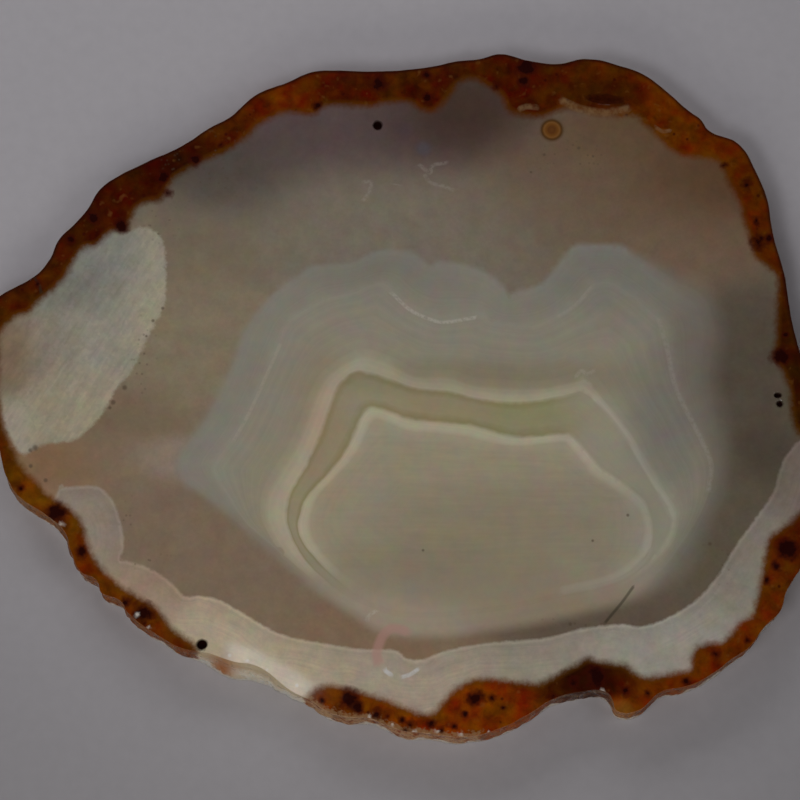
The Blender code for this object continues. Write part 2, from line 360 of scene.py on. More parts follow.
# Banded centre
# After the clear stone, thin layers grew inwards over each other, so each border lies inside the last
# and repeats its corners. Each border below is one growth front. The stone between two fronts took
# its colour from what the water carried then: grey, cream or olive.
FRONTS = {
    "outer border": [(-25.1, -4.9), (-23.2, -1.6), (-20.7, 4.2), (-19.8, 7.2), (-17.9, 10.2), (-16.4, 12),
        (-14.9, 13.3), (-13.1, 14.5), (-11, 15.9), (-6.4, 16.3), (-3.1, 17.8), (0.3, 18), (1.5, 17.6),
        (2.8, 16.6), (3.6, 16), (5.1, 16.5), (8.2, 16), (11, 14.8), (13, 13.1), (13.5, 12), (14.5, 12.6),
        (17.5, 13.5), (19.6, 15.9), (21.7, 18.4), (23.4, 18.7), (27.6, 18.6), (29.2, 17.6), (31.8, 15.9),
        (34.3, 14.1), (38, 12), (39.3, 8.4), (39.4, 6.7), (38.6, 2.2), (38.7, 0.1), (39.5, -6.4),
        (38.9, -12.2), (37.2, -16.4), (34.9, -20.8), (31.9, -24.1), (28.2, -26.6), (22.4, -28.2),
        (14.7, -29.8), (9.5, -30.5), (5.9, -31), (1.5, -31), (-2.8, -30.4), (-5.5, -28.5), (-9.6, -26),
        (-14.6, -21.9), (-20, -17.2), (-24.2, -13.7), (-27.2, -11.5), (-27.8, -8.5)],
    "fine white line": [(-23, -9.5), (-20.8, -6.4), (-19.1, -3.3), (-17.4, 0.5), (-15.2, 5.7), (-14.5, 7.8),
        (-12.5, 9.7), (-9.1, 11.5), (-5.8, 12.3), (-3.9, 13.2), (-2.2, 13.4), (-1.1, 12.3), (1.1, 10.2),
        (3.8, 8.9), (5.7, 8.6), (10.1, 9.3), (11.1, 8.5), (15.3, 7.9), (17, 8), (19.5, 9.1), (21.9, 10.8),
        (24, 13.1), (25.2, 13.5), (26.7, 13.4), (29.2, 11.7), (31.9, 9.1), (33.1, 7.8), (33.6, 3.7),
        (34.4, 0.1), (36.6, -4.8), (38, -7.8), (38.6, -9.9), (38.3, -12.6), (37, -15.8), (34.6, -19.5),
        (32, -22.8), (28.4, -25.3), (22.4, -27.1), (14.7, -28.9), (9.5, -29.7), (4, -30.1), (-2, -29.5),
        (-5.2, -27.9), (-9.2, -25.4), (-13.8, -21.6), (-16.9, -18.9), (-19.4, -16.6), (-21.7, -13),
        (-22.8, -11.2)],
    "cream band outside": [(-13, -6.4), (-10.3, 0.5), (-8.6, 2.4), (-6.4, 3.8), (-4.6, 4.4), (-1.4, 3.5),
        (1.8, 1.8), (6.1, 1.8), (9.3, 0.7), (16.5, 0.3), (19.7, 0.7), (22, 1.3), (22.9, 1.8), (24.6, -0.1),
        (27.4, -4.1), (29.1, -6.2), (30.3, -9.1), (31.6, -11.5), (34, -14.5), (34.3, -16.2), (33.6, -19.2),
        (31.4, -21.8), (29.6, -23.4), (27, -24.9), (20, -27), (15, -28.1), (10, -28.9), (5, -29.4),
        (0, -29.3), (-3.5, -28.4), (-6.2, -27.1), (-8.6, -25.8), (-12.5, -22.9), (-15.2, -20.2), (-17, -17),
        (-17.2, -15), (-16.8, -13), (-15, -10)],
    "cream band inside": [(-10.2, -6), (-8.1, 0), (-6.9, 1.4), (-6, 2.1), (-4.6, 2.2), (-1.4, 1.2),
        (1.8, 0.1), (6.1, -0.4), (9.3, -1.2), (13, -1.7), (16.5, -1.6), (21.8, -0.6), (22.6, -0.5),
        (24.9, -2.3), (27.7, -5.7), (28.8, -7.9), (30.2, -10.6), (32.3, -13.8), (33.2, -15.4),
        (33.2, -17.7), (31.7, -20.2), (30, -22.4), (28, -23.9), (25.8, -24.9), (20, -26.2), (14, -27.6),
        (10, -28.2), (5, -28.7), (0, -28.7), (-3.3, -27.7), (-5.4, -26.8), (-7.7, -25.5), (-11.2, -22.4),
        (-13, -19.8), (-14.1, -17), (-14.1, -15), (-13.6, -13), (-11.9, -10)],
    "inner cream band outside": [(-5.6, -5.3), (-4.9, -3.4), (-3.7, -2.4), (-1.4, -3), (0.7, -3.8),
        (3.8, -4.2), (8.2, -4.6), (10.3, -5.1), (14.4, -6.2), (19.8, -5.8), (21.3, -6), (23.9, -8.7),
        (24.9, -9.9), (27.3, -11.6), (30, -13.9), (30.8, -15.6), (31.2, -17.6), (30.9, -20), (29.4, -22),
        (27.6, -23.4), (25.6, -24.3), (20, -25.6), (14, -27), (10, -27.6), (5, -28.1), (0, -28),
        (-2.8, -27.2), (-4.5, -26.4), (-6.5, -25.2), (-9.6, -22.5), (-12.1, -19.5), (-12.8, -17.4),
        (-12.5, -15.8), (-11.7, -13.7), (-8.4, -10), (-7, -8)],
    "inner cream band inside": [(-4.2, -5.3), (-3.6, -4.2), (-2.6, -3.9), (0.7, -5.3), (3.8, -5.6),
        (8.2, -6.1), (10.3, -6.7), (14.4, -7.3), (19.8, -6.8), (20.7, -7.1), (22.7, -9.6), (23.6, -10.9),
        (26.3, -12.6), (29, -14.8), (29.9, -16.6), (30, -18.6), (28.7, -21.2), (27, -22.5), (25.2, -23.4),
        (20, -24.8), (14, -26.1), (10, -26.7), (5, -27.1), (0.5, -27), (-2.4, -26), (-4.9, -24.7),
        (-7, -23.3), (-9.9, -20.4), (-11.3, -17.4), (-10.3, -13.7), (-7, -10), (-5.5, -8)],
    "rosy ring": [(-1.5, -7.2), (3, -7.8), (9, -8.7), (15, -9), (19.5, -9.6), (22, -11), (24.6, -12.6),
        (26.6, -13.4), (27.1, -15), (27.3, -17), (27.2, -19), (26.4, -21.2), (24, -22.6), (16, -24.2),
        (10, -24.9), (4, -25.2), (0, -24.6), (-3, -23.2), (-6, -21), (-8.2, -18.4), (-8.6, -16),
        (-7.4, -13), (-5.2, -10.4), (-3.6, -8.5)],
}
CORE_DEPTH = 8.0
FRONT_SOFTNESS = 0.35
LEFT_SOFTNESS = 0.9
FOOT_SOFTNESS = 0.6
RIGHT_SOFTNESS = 2.6
GAP_GROWTH = (2.85, 4.1)
GAP_FADES_AT = 18.0
GAP_FADES_OVER = 6.0
GAP_FADED_TONE = "#d2caae"
BANDS_GROWTH = (1.8, 5.2)
BANDS_FADE_AT = 23.0
BANDS_FADE_OVER = 7.0
BANDS_FADED = 0.4
GROWTH_COLOURS = [
    (0, "#b9b4a5"), (0.3, "#b8b2a1"), (0.8, "#bcb5a2"), (0.96, "#c6c0ad"), (1.05, "#c1baa6"),
    (1.5, "#c4bca5"), (1.85, "#c7bfa5"), (2.1, "#d6ceb2"), (2.35, "#e1dabe"), (2.6, "#e9e1c5"),
    (2.88, "#ebe4c7"), (2.98, "#ddd5b5"), (3.07, "#c2b990"), (3.25, "#cdc5a3"), (3.7, "#cfc7a6"),
    (3.92, "#bfb68d"), (4.03, "#e4dcbc"), (4.25, "#f2eacc"), (4.7, "#ece4c6"), (5.05, "#dcd2b4"),
    (5.5, "#d6ccaf"), (5.95, "#d4c9ad"), (6.5, "#d2c7ab"), (7, "#d2c6a8"),
]
BAND_TINTS = {
    "none": ("#ffffff", (0, 0), (90, 90), 0.25),
    "warm grey on the right": ("#dcd5d5", (37.5, 3), (3.5, 8), 1.2),
    "cool shoulder at the top right": ("#e6eaee", (27, 15), (6, 4), 0.8),
    "cool crown at the top": ("#e9ecec", (-4, 16), (7, 3), 0.6),
    "tan gap at the top left": ("#fff3e4", (4, -2.4), (4.5, 1.4), 1.6),
    "olive gap at the top right": ("#f4f4dc", (15, -3.6), (5.5, 1.5), 1.6),
    "grey gap on the left": ("#fff0e6", (-9.8, -6), (2.4, 6.5), 2),
    "milky left shoulder": ("#fff8f0", (-14, -15), (4, 7), 1),
    "cool right bands": ("#f0f4f8", (31, -17), (3.5, 5), 1.2),
    "cool shade on the right": ("#dbe0ea", (32.5, -5), (3, 6), 1.1),
    "dull lower core": ("#dcd6ca", (6, -23.5), (14, 3.5), 1),
    "dull cream along the top": ("#ebe4da", (10, 1.3), (14, 1.6), 1.4),
    "darker core": ("#ebe6de", (12, -17.5), (11, 4.5), 1.2),
    "dull core's right": ("#e8e8e6", (24, -18.5), (3.5, 5), 1),
    "light upper core": ("#fffbf2", (6, -9), (11, 2.5), 0.8),
    "pale foot": ("#fff6ee", (-2, -28.5), (6, 2.5), 1),
    "dull strip at the bottom": ("#e6dacb", (19, -27.5), (9, 3), 1.2),
}
HAZE_TONE = "#d8ccb6"
HAZE_TOP = -20.5
HAZE_BOTTOM = -25.5
HAZE_STRENGTH = 0.93
LINES_PER_FRONT = 6.0
LINE_STRENGTH = (2.4, 1.8, 0.07, 0.2)
FRONT_WAVER = 0.16
FRONT_WAVER_SIZE = 1.3
STREAKED_GROWTH = (4.8, 5.6)
STREAK_DEPTH = 5.0
STREAK_LENGTH = 9.0
STREAK_HEIGHT = 0.55
STREAK_LIGHT = 0.035


def banded_centre(tree, place, below):
    """Lays the banded centre over the clear stone: its fronts' colours with fine parallel lines."""
    cover, growth, faded, haze = (node(tree, "Attribute", give="Fac", attribute_name=name)
                                  for name in ("banded", "growth", "gap_faded", "haze"))
    last = GROWTH_COLOURS[-1][0]
    waver = node(tree, "TexNoise", {"Vector": place, "Scale": 1 / FRONT_WAVER_SIZE, "Detail": 5})
    bent = node(tree, "Math", [waver, FRONT_WAVER, growth], operation="MULTIPLY_ADD")
    share = node(tree, "MapRange", [bent, FRONT_WAVER / 2, FRONT_WAVER / 2 + last])
    layers = node(tree, "ValToRGB", [share], stops=[(start / last, tone) for start, tone in GROWTH_COLOURS])
    layers = node(tree, "Mix", [faded, layers, linear(GAP_FADED_TONE)], data_type="RGBA")
    lines = node(tree, "TexNoise", {"W": growth, "Scale": LINES_PER_FRONT, "Detail": 3, "Roughness": 0.7},
                 noise_dimensions="1D")
    line_light = node(tree, "Math", [lines, 0.5], operation="SUBTRACT")
    strength = node(tree, "MapRange", [growth, *LINE_STRENGTH])
    drawn_out = node(tree, "VectorMath",
                     [place, (1 / STREAK_LENGTH, 1 / STREAK_HEIGHT, 1 / STREAK_DEPTH)],
                     operation="MULTIPLY")
    streaks = node(tree, "TexNoise", {"Vector": drawn_out, "Scale": 1, "Detail": 4, "Roughness": 0.6})
    streak_light = node(tree, "MapRange", [streaks, *NOISE_SPREAD, -STREAK_LIGHT, STREAK_LIGHT])
    inside = node(tree, "MapRange", [growth, *STREAKED_GROWTH])
    value = node(tree, "Math", [streak_light, inside, 1.0], operation="MULTIPLY_ADD")
    value = node(tree, "Math", [line_light, strength, value], operation="MULTIPLY_ADD")
    lined = node(tree, "HueSaturation", {"Color": layers, "Value": value})
    hazy = node(tree, "Mix", [haze, lined, linear(HAZE_TONE)], data_type="RGBA")
    tint = node(tree, "Attribute", attribute_name="band_tint")
    tinted = node(tree, "Mix", [1.0, hazy, tint], data_type="RGBA", blend_type="MULTIPLY")
    return node(tree, "Mix", [cover, below, tinted], data_type="RGBA")


# Spur
# A pale tongue of the banded centre runs left to the rim, where the water once came in. It is the same
# chalcedony with softer edges, and iron from the rim turned it amber near its tip.
SPUR_LINE = [(-24, -8.6), (-30, -8.8), (-36, -9.2), (-42, -9.6), (-47, -9)]
SPUR_HALF_WIDTH = 2.4
SPUR_SOFTNESS = 1.4
SPUR_TONES = {
    "grey by the centre": ("#c7b29f", (-27, -8.6), (6, 6), 1),
    "tan in the middle": ("#ae9579", (-35, -9), (5, 6), 1),
    "amber by the rim": ("#b38f6b", (-44, -9), (5, 6), 1),
}

# White lens
# A pod of white quartz grains at the left end, grown before the clear stone closed round it. It has a
# cream border on its right, is blue grey and sugary at its top, and its fibres run along it.
LENS_BORDER = [
    (-34.7, 20.4), (-33, 20.9), (-31.1, 20.3), (-30.2, 19), (-29.8, 17), (-29.7, 12.1), (-30.1, 10.2),
    (-31.6, 7.3), (-33.3, 3.4), (-34.4, 1.5), (-35.6, 0.2), (-37.7, -3.6), (-40.4, -6.2), (-42.3, -6.7),
    (-44.1, -6.9), (-45.4, -7.3), (-46.6, -8.3), (-47.9, -7.5), (-49.5, -4.4), (-50.2, -1), (-52, 3),
    (-52, 10), (-47, 12), (-43, 18), (-38, 22),
]
LENS_TONES = {
    "milk": ("#c8c1ac", (-40, 6), (20, 20), 0.1),
    "cream border": ("#d9cfb2", (-31.5, 10), (2.6, 9), 1),
    "cream low border": ("#dacfae", (-38, -2.5), (4, 4), 1),
    "blue grey top": ("#b3b2a7", (-36.5, 17), (4.5, 3.5), 1),
    "grey hollow": ("#a09e92", (-41, 13.5), (4, 3.5), 1),
    "milk middle": ("#cac3af", (-38.5, 7), (4, 5), 1),
    "brown tinge by the rim": ("#a99074", (-48.8, 4.5), (2.6, 4), 1.2),
    "tan middle": ("#bdb29b", (-44, 6), (3, 3), 1),
    "cream foot": ("#cec1a4", (-43, -2), (4, 3.5), 1),
    "white foot": ("#d7ccb4", (-47.5, -4.5), (1.8, 2.6), 1.2),
}
LENS_WAVER = (0.8, 1.1, 0.2, 0.8)
LENS_GRAIN = 0.45
LENS_GRAIN_LIGHT = (0.95, 1.05)
LENS_CLOUD = (1.9, 0.92, 1.08)
LENS_TURN = 58.0
LENS_FEATHER_REACH = (5.0, 0.7, 2.0)
LENS_FEATHERS = (1, 0.91, 1.1)
LENS_FEATHER_SPREAD = (0.3, 0.72)


def white_lens(tree, place, below):
    """Lays the lens of white quartz grains over the stone below it."""
    depth = node(tree, "Attribute", give="Fac", attribute_name="lens_mm")
    _, cover = wavering_border(tree, place, depth, *LENS_WAVER, Detail=6, Roughness=0.7)
    tone = node(tree, "Attribute", attribute_name="lens_tone")
    grains = node(tree, "TexVoronoi", {"Vector": place, "Scale": 1 / LENS_GRAIN}, give="Color")
    grain = node(tree, "SeparateColor", [grains], give="Green")
    light = node(tree, "MapRange", [grain, 0, 1, *LENS_GRAIN_LIGHT])
    grainy = node(tree, "HueSaturation", {"Color": tone, "Value": light})
    cloudy = mottled(tree, place, grainy, *LENS_CLOUD, Detail=5, Roughness=0.6)
    along = node(tree, "Mapping", {"Vector": place, "Rotation": (0, 0, math.radians(LENS_TURN)),
                                   "Scale": LENS_FEATHER_REACH}, vector_type="TEXTURE")
    feathery = mottled(tree, along, cloudy, *LENS_FEATHERS, spread=LENS_FEATHER_SPREAD, Detail=5,
                       Roughness=0.62, Distortion=0.4)
    return node(tree, "Mix", [cover, below, feathery], data_type="RGBA")


# White scalloped band
# The last white layer before the rind along the bottom: opaque white chalcedony that grew in
# overlapping lobes, each with fine lines parallel to its border.
WHITE_BAND_BORDER = [
    (-42.7, -13.1), (-41.8, -12.5), (-39.6, -12.3), (-37.7, -12.4), (-36.5, -13.3), (-35.4, -14.9),
    (-34.4, -18.5), (-34.4, -20.4), (-34.8, -21.6), (-33.6, -21.8), (-31.7, -22.4), (-29.8, -23.4),
    (-28, -24.8), (-26.7, -26.1), (-24.8, -26.1), (-22.7, -26.5), (-20.5, -27.6), (-16.7, -29.9),
    (-14.5, -30.9), (-11.7, -31.6), (-5.5, -32.6), (-0.8, -32.8), (0.8, -33.9), (2.9, -33.9), (4.8, -33.1),
    (10, -32), (17.7, -31.3), (22, -30.2), (26.9, -29.6), (29.3, -29.9), (32.1, -29.1), (36.1, -26.8),
    (38.9, -23.8), (41.4, -19.8), (44, -16.3), (46.2, -13.1), (46.9, -10.9), (47.6, -9), (48.5, -7.8),
    (50, -6.5), (56, -6), (56, -30), (40, -42), (0, -50), (-30, -44), (-46, -24),
]
WHITE_BAND_TONES = {
    "white": ("#dfd1ba", (0, -34), (60, 20), 0.05),
    "first lobe": ("#d1beaa", (-37.5, -17), (3.5, 5), 1),
    "rosy second lobe": ("#e0c1a6", (-31, -25), (4, 3.5), 1),
    "cream third lobe": ("#feeac8", (-22, -30), (5, 4), 1),
    "cream ledge": ("#f9e5c3", (-14, -35), (5, 3), 1),
    "white under the centre": ("#eedbc2", (0, -35.5), (8, 4), 1),
    "grey white": ("#d8cdb7", (18, -33.5), (7, 3.5), 1),
    "cool white": ("#e1dac9", (31, -31), (8, 4), 1),
    "grey right": ("#cabfae", (42, -22), (5, 6), 1),
    "dull right end": ("#af9f91", (49, -11), (3, 5), 1),
}
WHITE_WAVER = (0.7, 0.5, 0.05, 0.5)
WHITE_LINE_REACH = 3.0
WHITE_LINE_SPACING = 0.55
WHITE_LINE_LIGHT = [
    (0, "#ffffff"), (0.16, "#fdfdfb"), (0.26, "#ececea"), (0.5, "#f0f0ee"), (0.9, "#f6f6f4"),
]
WHITE_LINE_DEPTH = (-0.07, 0.05)
WHITE_LINES_SHOW = (0.35, 0.6)
WHITE_BOW = 2.2
WHITE_BOW_SIZE = 6.0
WHITE_CLOUD = (1.5, 0.87, 1.08)


def white_band(tree, place, below):
    """Lays the white scalloped band over the stone below it, with lines parallel to its border."""
    depth = node(tree, "Attribute", give="Fac", attribute_name="white_mm")
    border, cover = wavering_border(tree, place, depth, *WHITE_WAVER, Detail=5, Roughness=0.7)
    tone = node(tree, "Attribute", attribute_name="white_tone")
    scaled = node(tree, "Math", [border, 1 / WHITE_LINE_REACH], operation="MULTIPLY")
    edge_line = node(tree, "ValToRGB", [scaled], stops=WHITE_LINE_LIGHT)
    edged = node(tree, "Mix", [1.0, tone, edge_line], data_type="RGBA", blend_type="MULTIPLY")
    bow = node(tree, "TexNoise", {"Vector": place, "Scale": 1 / WHITE_BOW_SIZE, "Detail": 2})
    bowed = node(tree, "Math", [bow, WHITE_BOW, depth], operation="MULTIPLY_ADD")
    lines = node(tree, "TexNoise", {"W": bowed, "Scale": 1 / WHITE_LINE_SPACING, "Detail": 3,
                                    "Roughness": 0.6}, noise_dimensions="1D")
    light = node(tree, "MapRange", [lines, *NOISE_SPREAD, *WHITE_LINE_DEPTH])
    clear_here = node(tree, "MapRange", [bow, *WHITE_LINES_SHOW])
    patchy = node(tree, "Math", [light, clear_here, 1.0], operation="MULTIPLY_ADD")
    lined = node(tree, "HueSaturation", {"Color": edged, "Value": patchy})
    cloudy = mottled(tree, place, lined, *WHITE_CLOUD, Detail=6, Roughness=0.7)
    return node(tree, "Mix", [cover, below, cloudy], data_type="RGBA")


# Spots, pits, cracks and threads
# Clots of iron oxide show as round red-black spots in the rim, and bubbles that the saw opened are
# pits with dark insides, partly iron oxide and partly painted shade. Fine cracks, healed cracks and one
# shell-shaped chip catch the light; the chip's bright edge is a painted highlight.
# A spot is its centre and radius; a pit its centre, half length, half width, turn and depth.
CLOTS = [
    (-10.6, 37, 0.5), (-2.7, 39.9, 0.75), (-22.9, 31.9, 0.4), (-26.1, 29.9, 0.6), (-30.3, 27.6, 0.75),
    (-29.7, 25.5, 0.5), (-35.4, 21.1, 0.7), (-38.9, 22.2, 0.6), (-41.7, 19.4, 0.5), (-45.8, 13.6, 0.4),
    (16.1, 42.2, 1), (15.8, 40.4, 0.6), (12.2, 39.5, 0.5), (3.3, 41.1, 0.5), (3.4, 38.2, 0.5),
    (41, 29.1, 0.4), (43.9, 26.5, 0.6), (45, 21.8, 0.5), (45.1, 19, 0.8), (46.5, 19.5, 0.5),
    (48.3, 7.1, 0.4), (47.5, 4.1, 0.9), (-42.8, -15.7, 1), (-39.5, -20.7, 0.6), (-34, -26.9, 0.5),
    (-31.7, -28.3, 1), (-47.2, -12.7, 0.35), (-6.5, -38.6, 0.85), (-5.3, -39.9, 0.6), (-9.7, -39.1, 0.35),
    (-3, -40.7, 0.5), (-1.6, -40.9, 0.3), (0.1, -41.4, 0.45), (1.1, -42, 0.6), (0.6, -42.7, 0.4),
    (3.6, -41.8, 0.5), (5, -42.7, 0.35), (6.4, -42.2, 0.45), (7.8, -40.7, 0.4), (9, -38.7, 0.8),
    (11.1, -38.6, 0.45), (12.5, -39.9, 0.25), (18.7, -38.6, 0.5), (23.9, -36.1, 1.1), (21.1, -36.9, 0.6),
    (27.5, -37.8, 0.45), (30.2, -38.1, 0.4), (34.9, -36.7, 0.45), (38.7, -33.4, 0.5), (42.5, -31.6, 0.4),
    (47.8, -20.2, 1), (46.3, -22.4, 0.5), (45.1, -24.2, 0.4),
]
# Painted glints: near-white spots that stand in for light caught by tiny crystal faces along the near edge
# and in the glare above the ledge
PAINTED_GLINTS = [
    (-3.9, -41, 0.22), (-1.1, -42, 0.2), (1.6, -42.9, 0.2), (4.5, -42.8, 0.16), (7.3, -43.2, 0.22),
    (10.6, -42.9, 0.14), (14.1, -41.9, 0.18), (24.6, -38, 0.3), (-42.2, -17.1, 0.2), (-32.5, -28.4, 0.25),
    (-31.1, -30, 0.2), (-21.1, -33.4, 0.22), (-18.9, -34.1, 0.22), (-16.5, -35.2, 0.2),
    (-12.8, -37.1, 0.22),
]
SPECKS = [
    (22.6, 31.4, 0.2), (18.2, 30.5, 0.18), (24.4, 30.3, 0.15), (16.5, 28.2, 0.15), (38.2, -19.6, 0.2),
    (20.8, -29.6, 0.2), (2.7, -20.4, 0.16), (23.7, -19.2, 0.16), (28.1, -16, 0.18), (-45.6, -7.5, 0.35),
    (-46.2, -7.8, 0.25), (-46.1, -9.8, 0.25), (-44.2, -11.6, 0.25), (-30, 10.4, 0.2), (-31.2, 8.8, 0.2),
    (-32, 6.8, 0.15), (-34.6, 0.2, 0.3), (-36, -1.7, 0.3), (-36.4, -2.4, 0.2),
]
PITS = {
    "beside the ledge": ((-24.5, -32.1), 0.72, 0.65, 20, 0.6),
    "under the top rim": ((-3, 34.4), 0.62, 0.62, 0, 0.5),
    "right, upper": ((47.1, -0.8), 0.5, 0.36, 0, 0.4),
    "right, lower": ((47.3, -1.9), 0.42, 0.42, 0, 0.4),
    "vug in the top rim": ((26.1, 37.9), 2.6, 0.6, -3, 0.55),
}
EYE_CENTRE = (19.2, 33.8)
EYE_COLOURS = [
    (0, "#7e480e"), (0.3, "#76400a"), (0.55, "#905816"), (0.7, "#9a662c"), (0.82, "#704614"),
    (0.92, "#5c3a12"), (1, "#6e4e28"),
]
EYE_RADIUS = 1.45
# A thread is its kind, half width and line; a kind is its colour and strength
THREADS = {
    "white arc at the shoulder": ("pale", 0.18, [(-1.1, 12.3), (1.1, 10.2), (3.8, 8.9), (5.7, 8.6),
        (9.3, 9.2)]),
    "left white line": ("dim", 0.18, [(-20.8, -6.4), (-19.1, -3.3), (-17.4, 0.5), (-15.2, 5.7)]),
    "right shoulder's line": ("faint", 0.2, [(19.8, 9.4), (21.9, 10.8), (24, 13.1)]),
    "fine line down the right": ("faint", 0.26, [(32.4, 8.9), (33.4, 5), (34.4, 0.1), (36.6, -4.8),
        (38, -7.8), (38.6, -9.9), (38.2, -12.8)]),
    # The chip's bright lines are a painted highlight where its broken face catches the light
    "shell-shaped chip": ("bright", 0.2, [(0.2, -36.1), (1.1, -35.8), (2, -35.2)]),
    "chip's other end": ("bright", 0.22, [(-1.9, -35.4), (-1.3, -35.8)]),
    "chip's dim edge": ("dim", 0.22, [(-1.2, -35.9), (0.2, -36.2), (2, -35.2), (3.2, -34.2)]),
    "star fleck": ("pale", 0.18, [(-4.1, -28.8), (-3.7, -28.3), (-3.1, -28)]),
    "dot in the core": ("faint", 0.16, [(21.1, -12), (21.3, -11.8)]),
    # The pale lip under the vug is partly tan stone and partly painted highlight on its lit lower edge
    "pale lip under the vug, partly painted highlight": ("tan", 0.42, [(20.6, 37.6), (23.1, 36.5), (26, 36.1), (28.9, 36.6)]),
    "crescent in the rim": ("tan", 0.2, [(32.5, 34.1), (33.3, 33.6), (34.3, 33.7)]),
    "flecks left of the eye": ("tan", 0.3, [(15.2, 36.6), (16, 36.9), (17.3, 36.8)]),
    "feather in the lens": ("faint", 0.12, [(-40.1, 4.3), (-42.3, 2.8), (-43.1, 1.2), (-44.5, -0.5)]),
    "crystals at the lens's foot": ("dim", 0.7, [(-48.2, -2.2), (-47.5, -3.4), (-46.9, -5)]),
    "broken flecks at the corner": ("dim", 0.2, [(21.9, 1.6), (22.6, 2.4), (23.2, 1.9), (24, 2.3)]),
    "second fleck at the corner": ("dim", 0.18, [(22.3, 0.7), (23.1, 1), (23.6, 0.6)]),
    "scratch 1": ("faint", 0.2, [(2.4, 29.1), (3.7, 28.1), (4, 29.1), (5.6, 29.4)]),
    "scratch 2": ("faint", 0.2, [(3, 27.8), (3.7, 26.8), (4.9, 26.5), (6.5, 25.9)]),
    "scratch 3": ("faint", 0.09, [(-1.4, 26.7), (-0.2, 26.5)]),
    "scratch 4": ("faint", 0.2, [(-4.6, 26.9), (-3.8, 27), (-4.1, 25.5), (-4.7, 24.6)]),
    "bright thread in the band": ("faint", 0.16, [(24.5, -30.6), (28, -31.4), (31.4, -31.6), (34.2, -30),
        (37, -27.7), (39.2, -25.3)]),
    "pink skin of the chip": ("pink", 0.5, [(0.6, -30.5), (-0.9, -30.1), (-2, -30.7), (-2.7, -32),
        (-3, -33.3), (-2.8, -34.2)]),
    "slanting crack": ("dark", 0.15, [(28.6, -25), (27.2, -26.9), (25.6, -28.8), (25.2, -29.3)]),
    "crack between lobes": ("faint", 0.1, [(-26.8, -26.2), (-27.2, -27.6), (-27.4, -28.8)]),
    "inner cream band's lower right": ("hazy", 0.45, [(30.6, -18.8), (30.2, -21), (28.3, -22.9),
        (25, -24.3), (20, -25.4)]),
    "cream band's right": ("hazy", 0.4, [(24.4, -1.2), (26, -3), (28.2, -6), (30, -9), (32, -12.6),
        (33.6, -16)]),
    "crack in the left rim": ("dark", 0.16, [(-45.4, 12.6), (-45.7, 13.6), (-46.4, 14.6)]),
}
THREAD_KINDS = {
    "pale": ("#f2ecdc", 0.5),
    # bright: a painted highlight on the chip's edge
    "bright": ("#fffcf6", 0.95),
    "faint": ("#e0d8c8", 0.22),
    "dim": ("#ddd3bd", 0.42),
    "hazy": ("#e6e4d2", 0.22),
    "tan": ("#ac8a60", 0.55),
    "pink": ("#e6b2a4", 0.7),
    "dark": ("#3f3a2c", 0.6),
}
UNBROKEN = ("hazy", "pink", "bright", "dark")
SPECKLED = {
    "under the top left rim": ((-24, 28.5), (6, 4)),
    "beside the lens": ((-32.4, 4), (1.6, 6)),
    "beside the first lobe": ((-34, -18), (0.9, 4)),
    "along the second lobe": ((-31.5, -21.8), (3.5, 1)),
    "along the band on the right": ((39, -22), (2.2, 2.6)),
    "over the band's notch": ((22.5, -29.4), (6, 0.8)),
    "right of the lens's top": ((-30.5, 21.5), (2.4, 2.6)),
    "round the eye": ((22, 30.5), (5, 2.5)),
}
EYE_SHARE = (1.2, 0.85, 0, 0.88)
SPECK_SPACING = 0.62
SPECK_EDGE = (0.34, 0.14)
SPECK_SHARE = 0.4
THREAD_GAP = 0.5
THREAD_BREAKS = (0.36, 0.56)
THREAD_LUMP = 0.9
THREAD_LUMPS_SHOW = (0.4, 0.6, 0.25)
CLOT_RAG = 1.1
CLOT_RAG_PUSH = 1.1
CLOT_STARTS = 0.15
# A clot's halo and its middle: where each starts and is full, its strength and its colour
CLOT_LAYERS = [(0.66, 1.15, 0.75, "#4c1206"), (1.03, 1.34, 0.92, "#2a0604")]


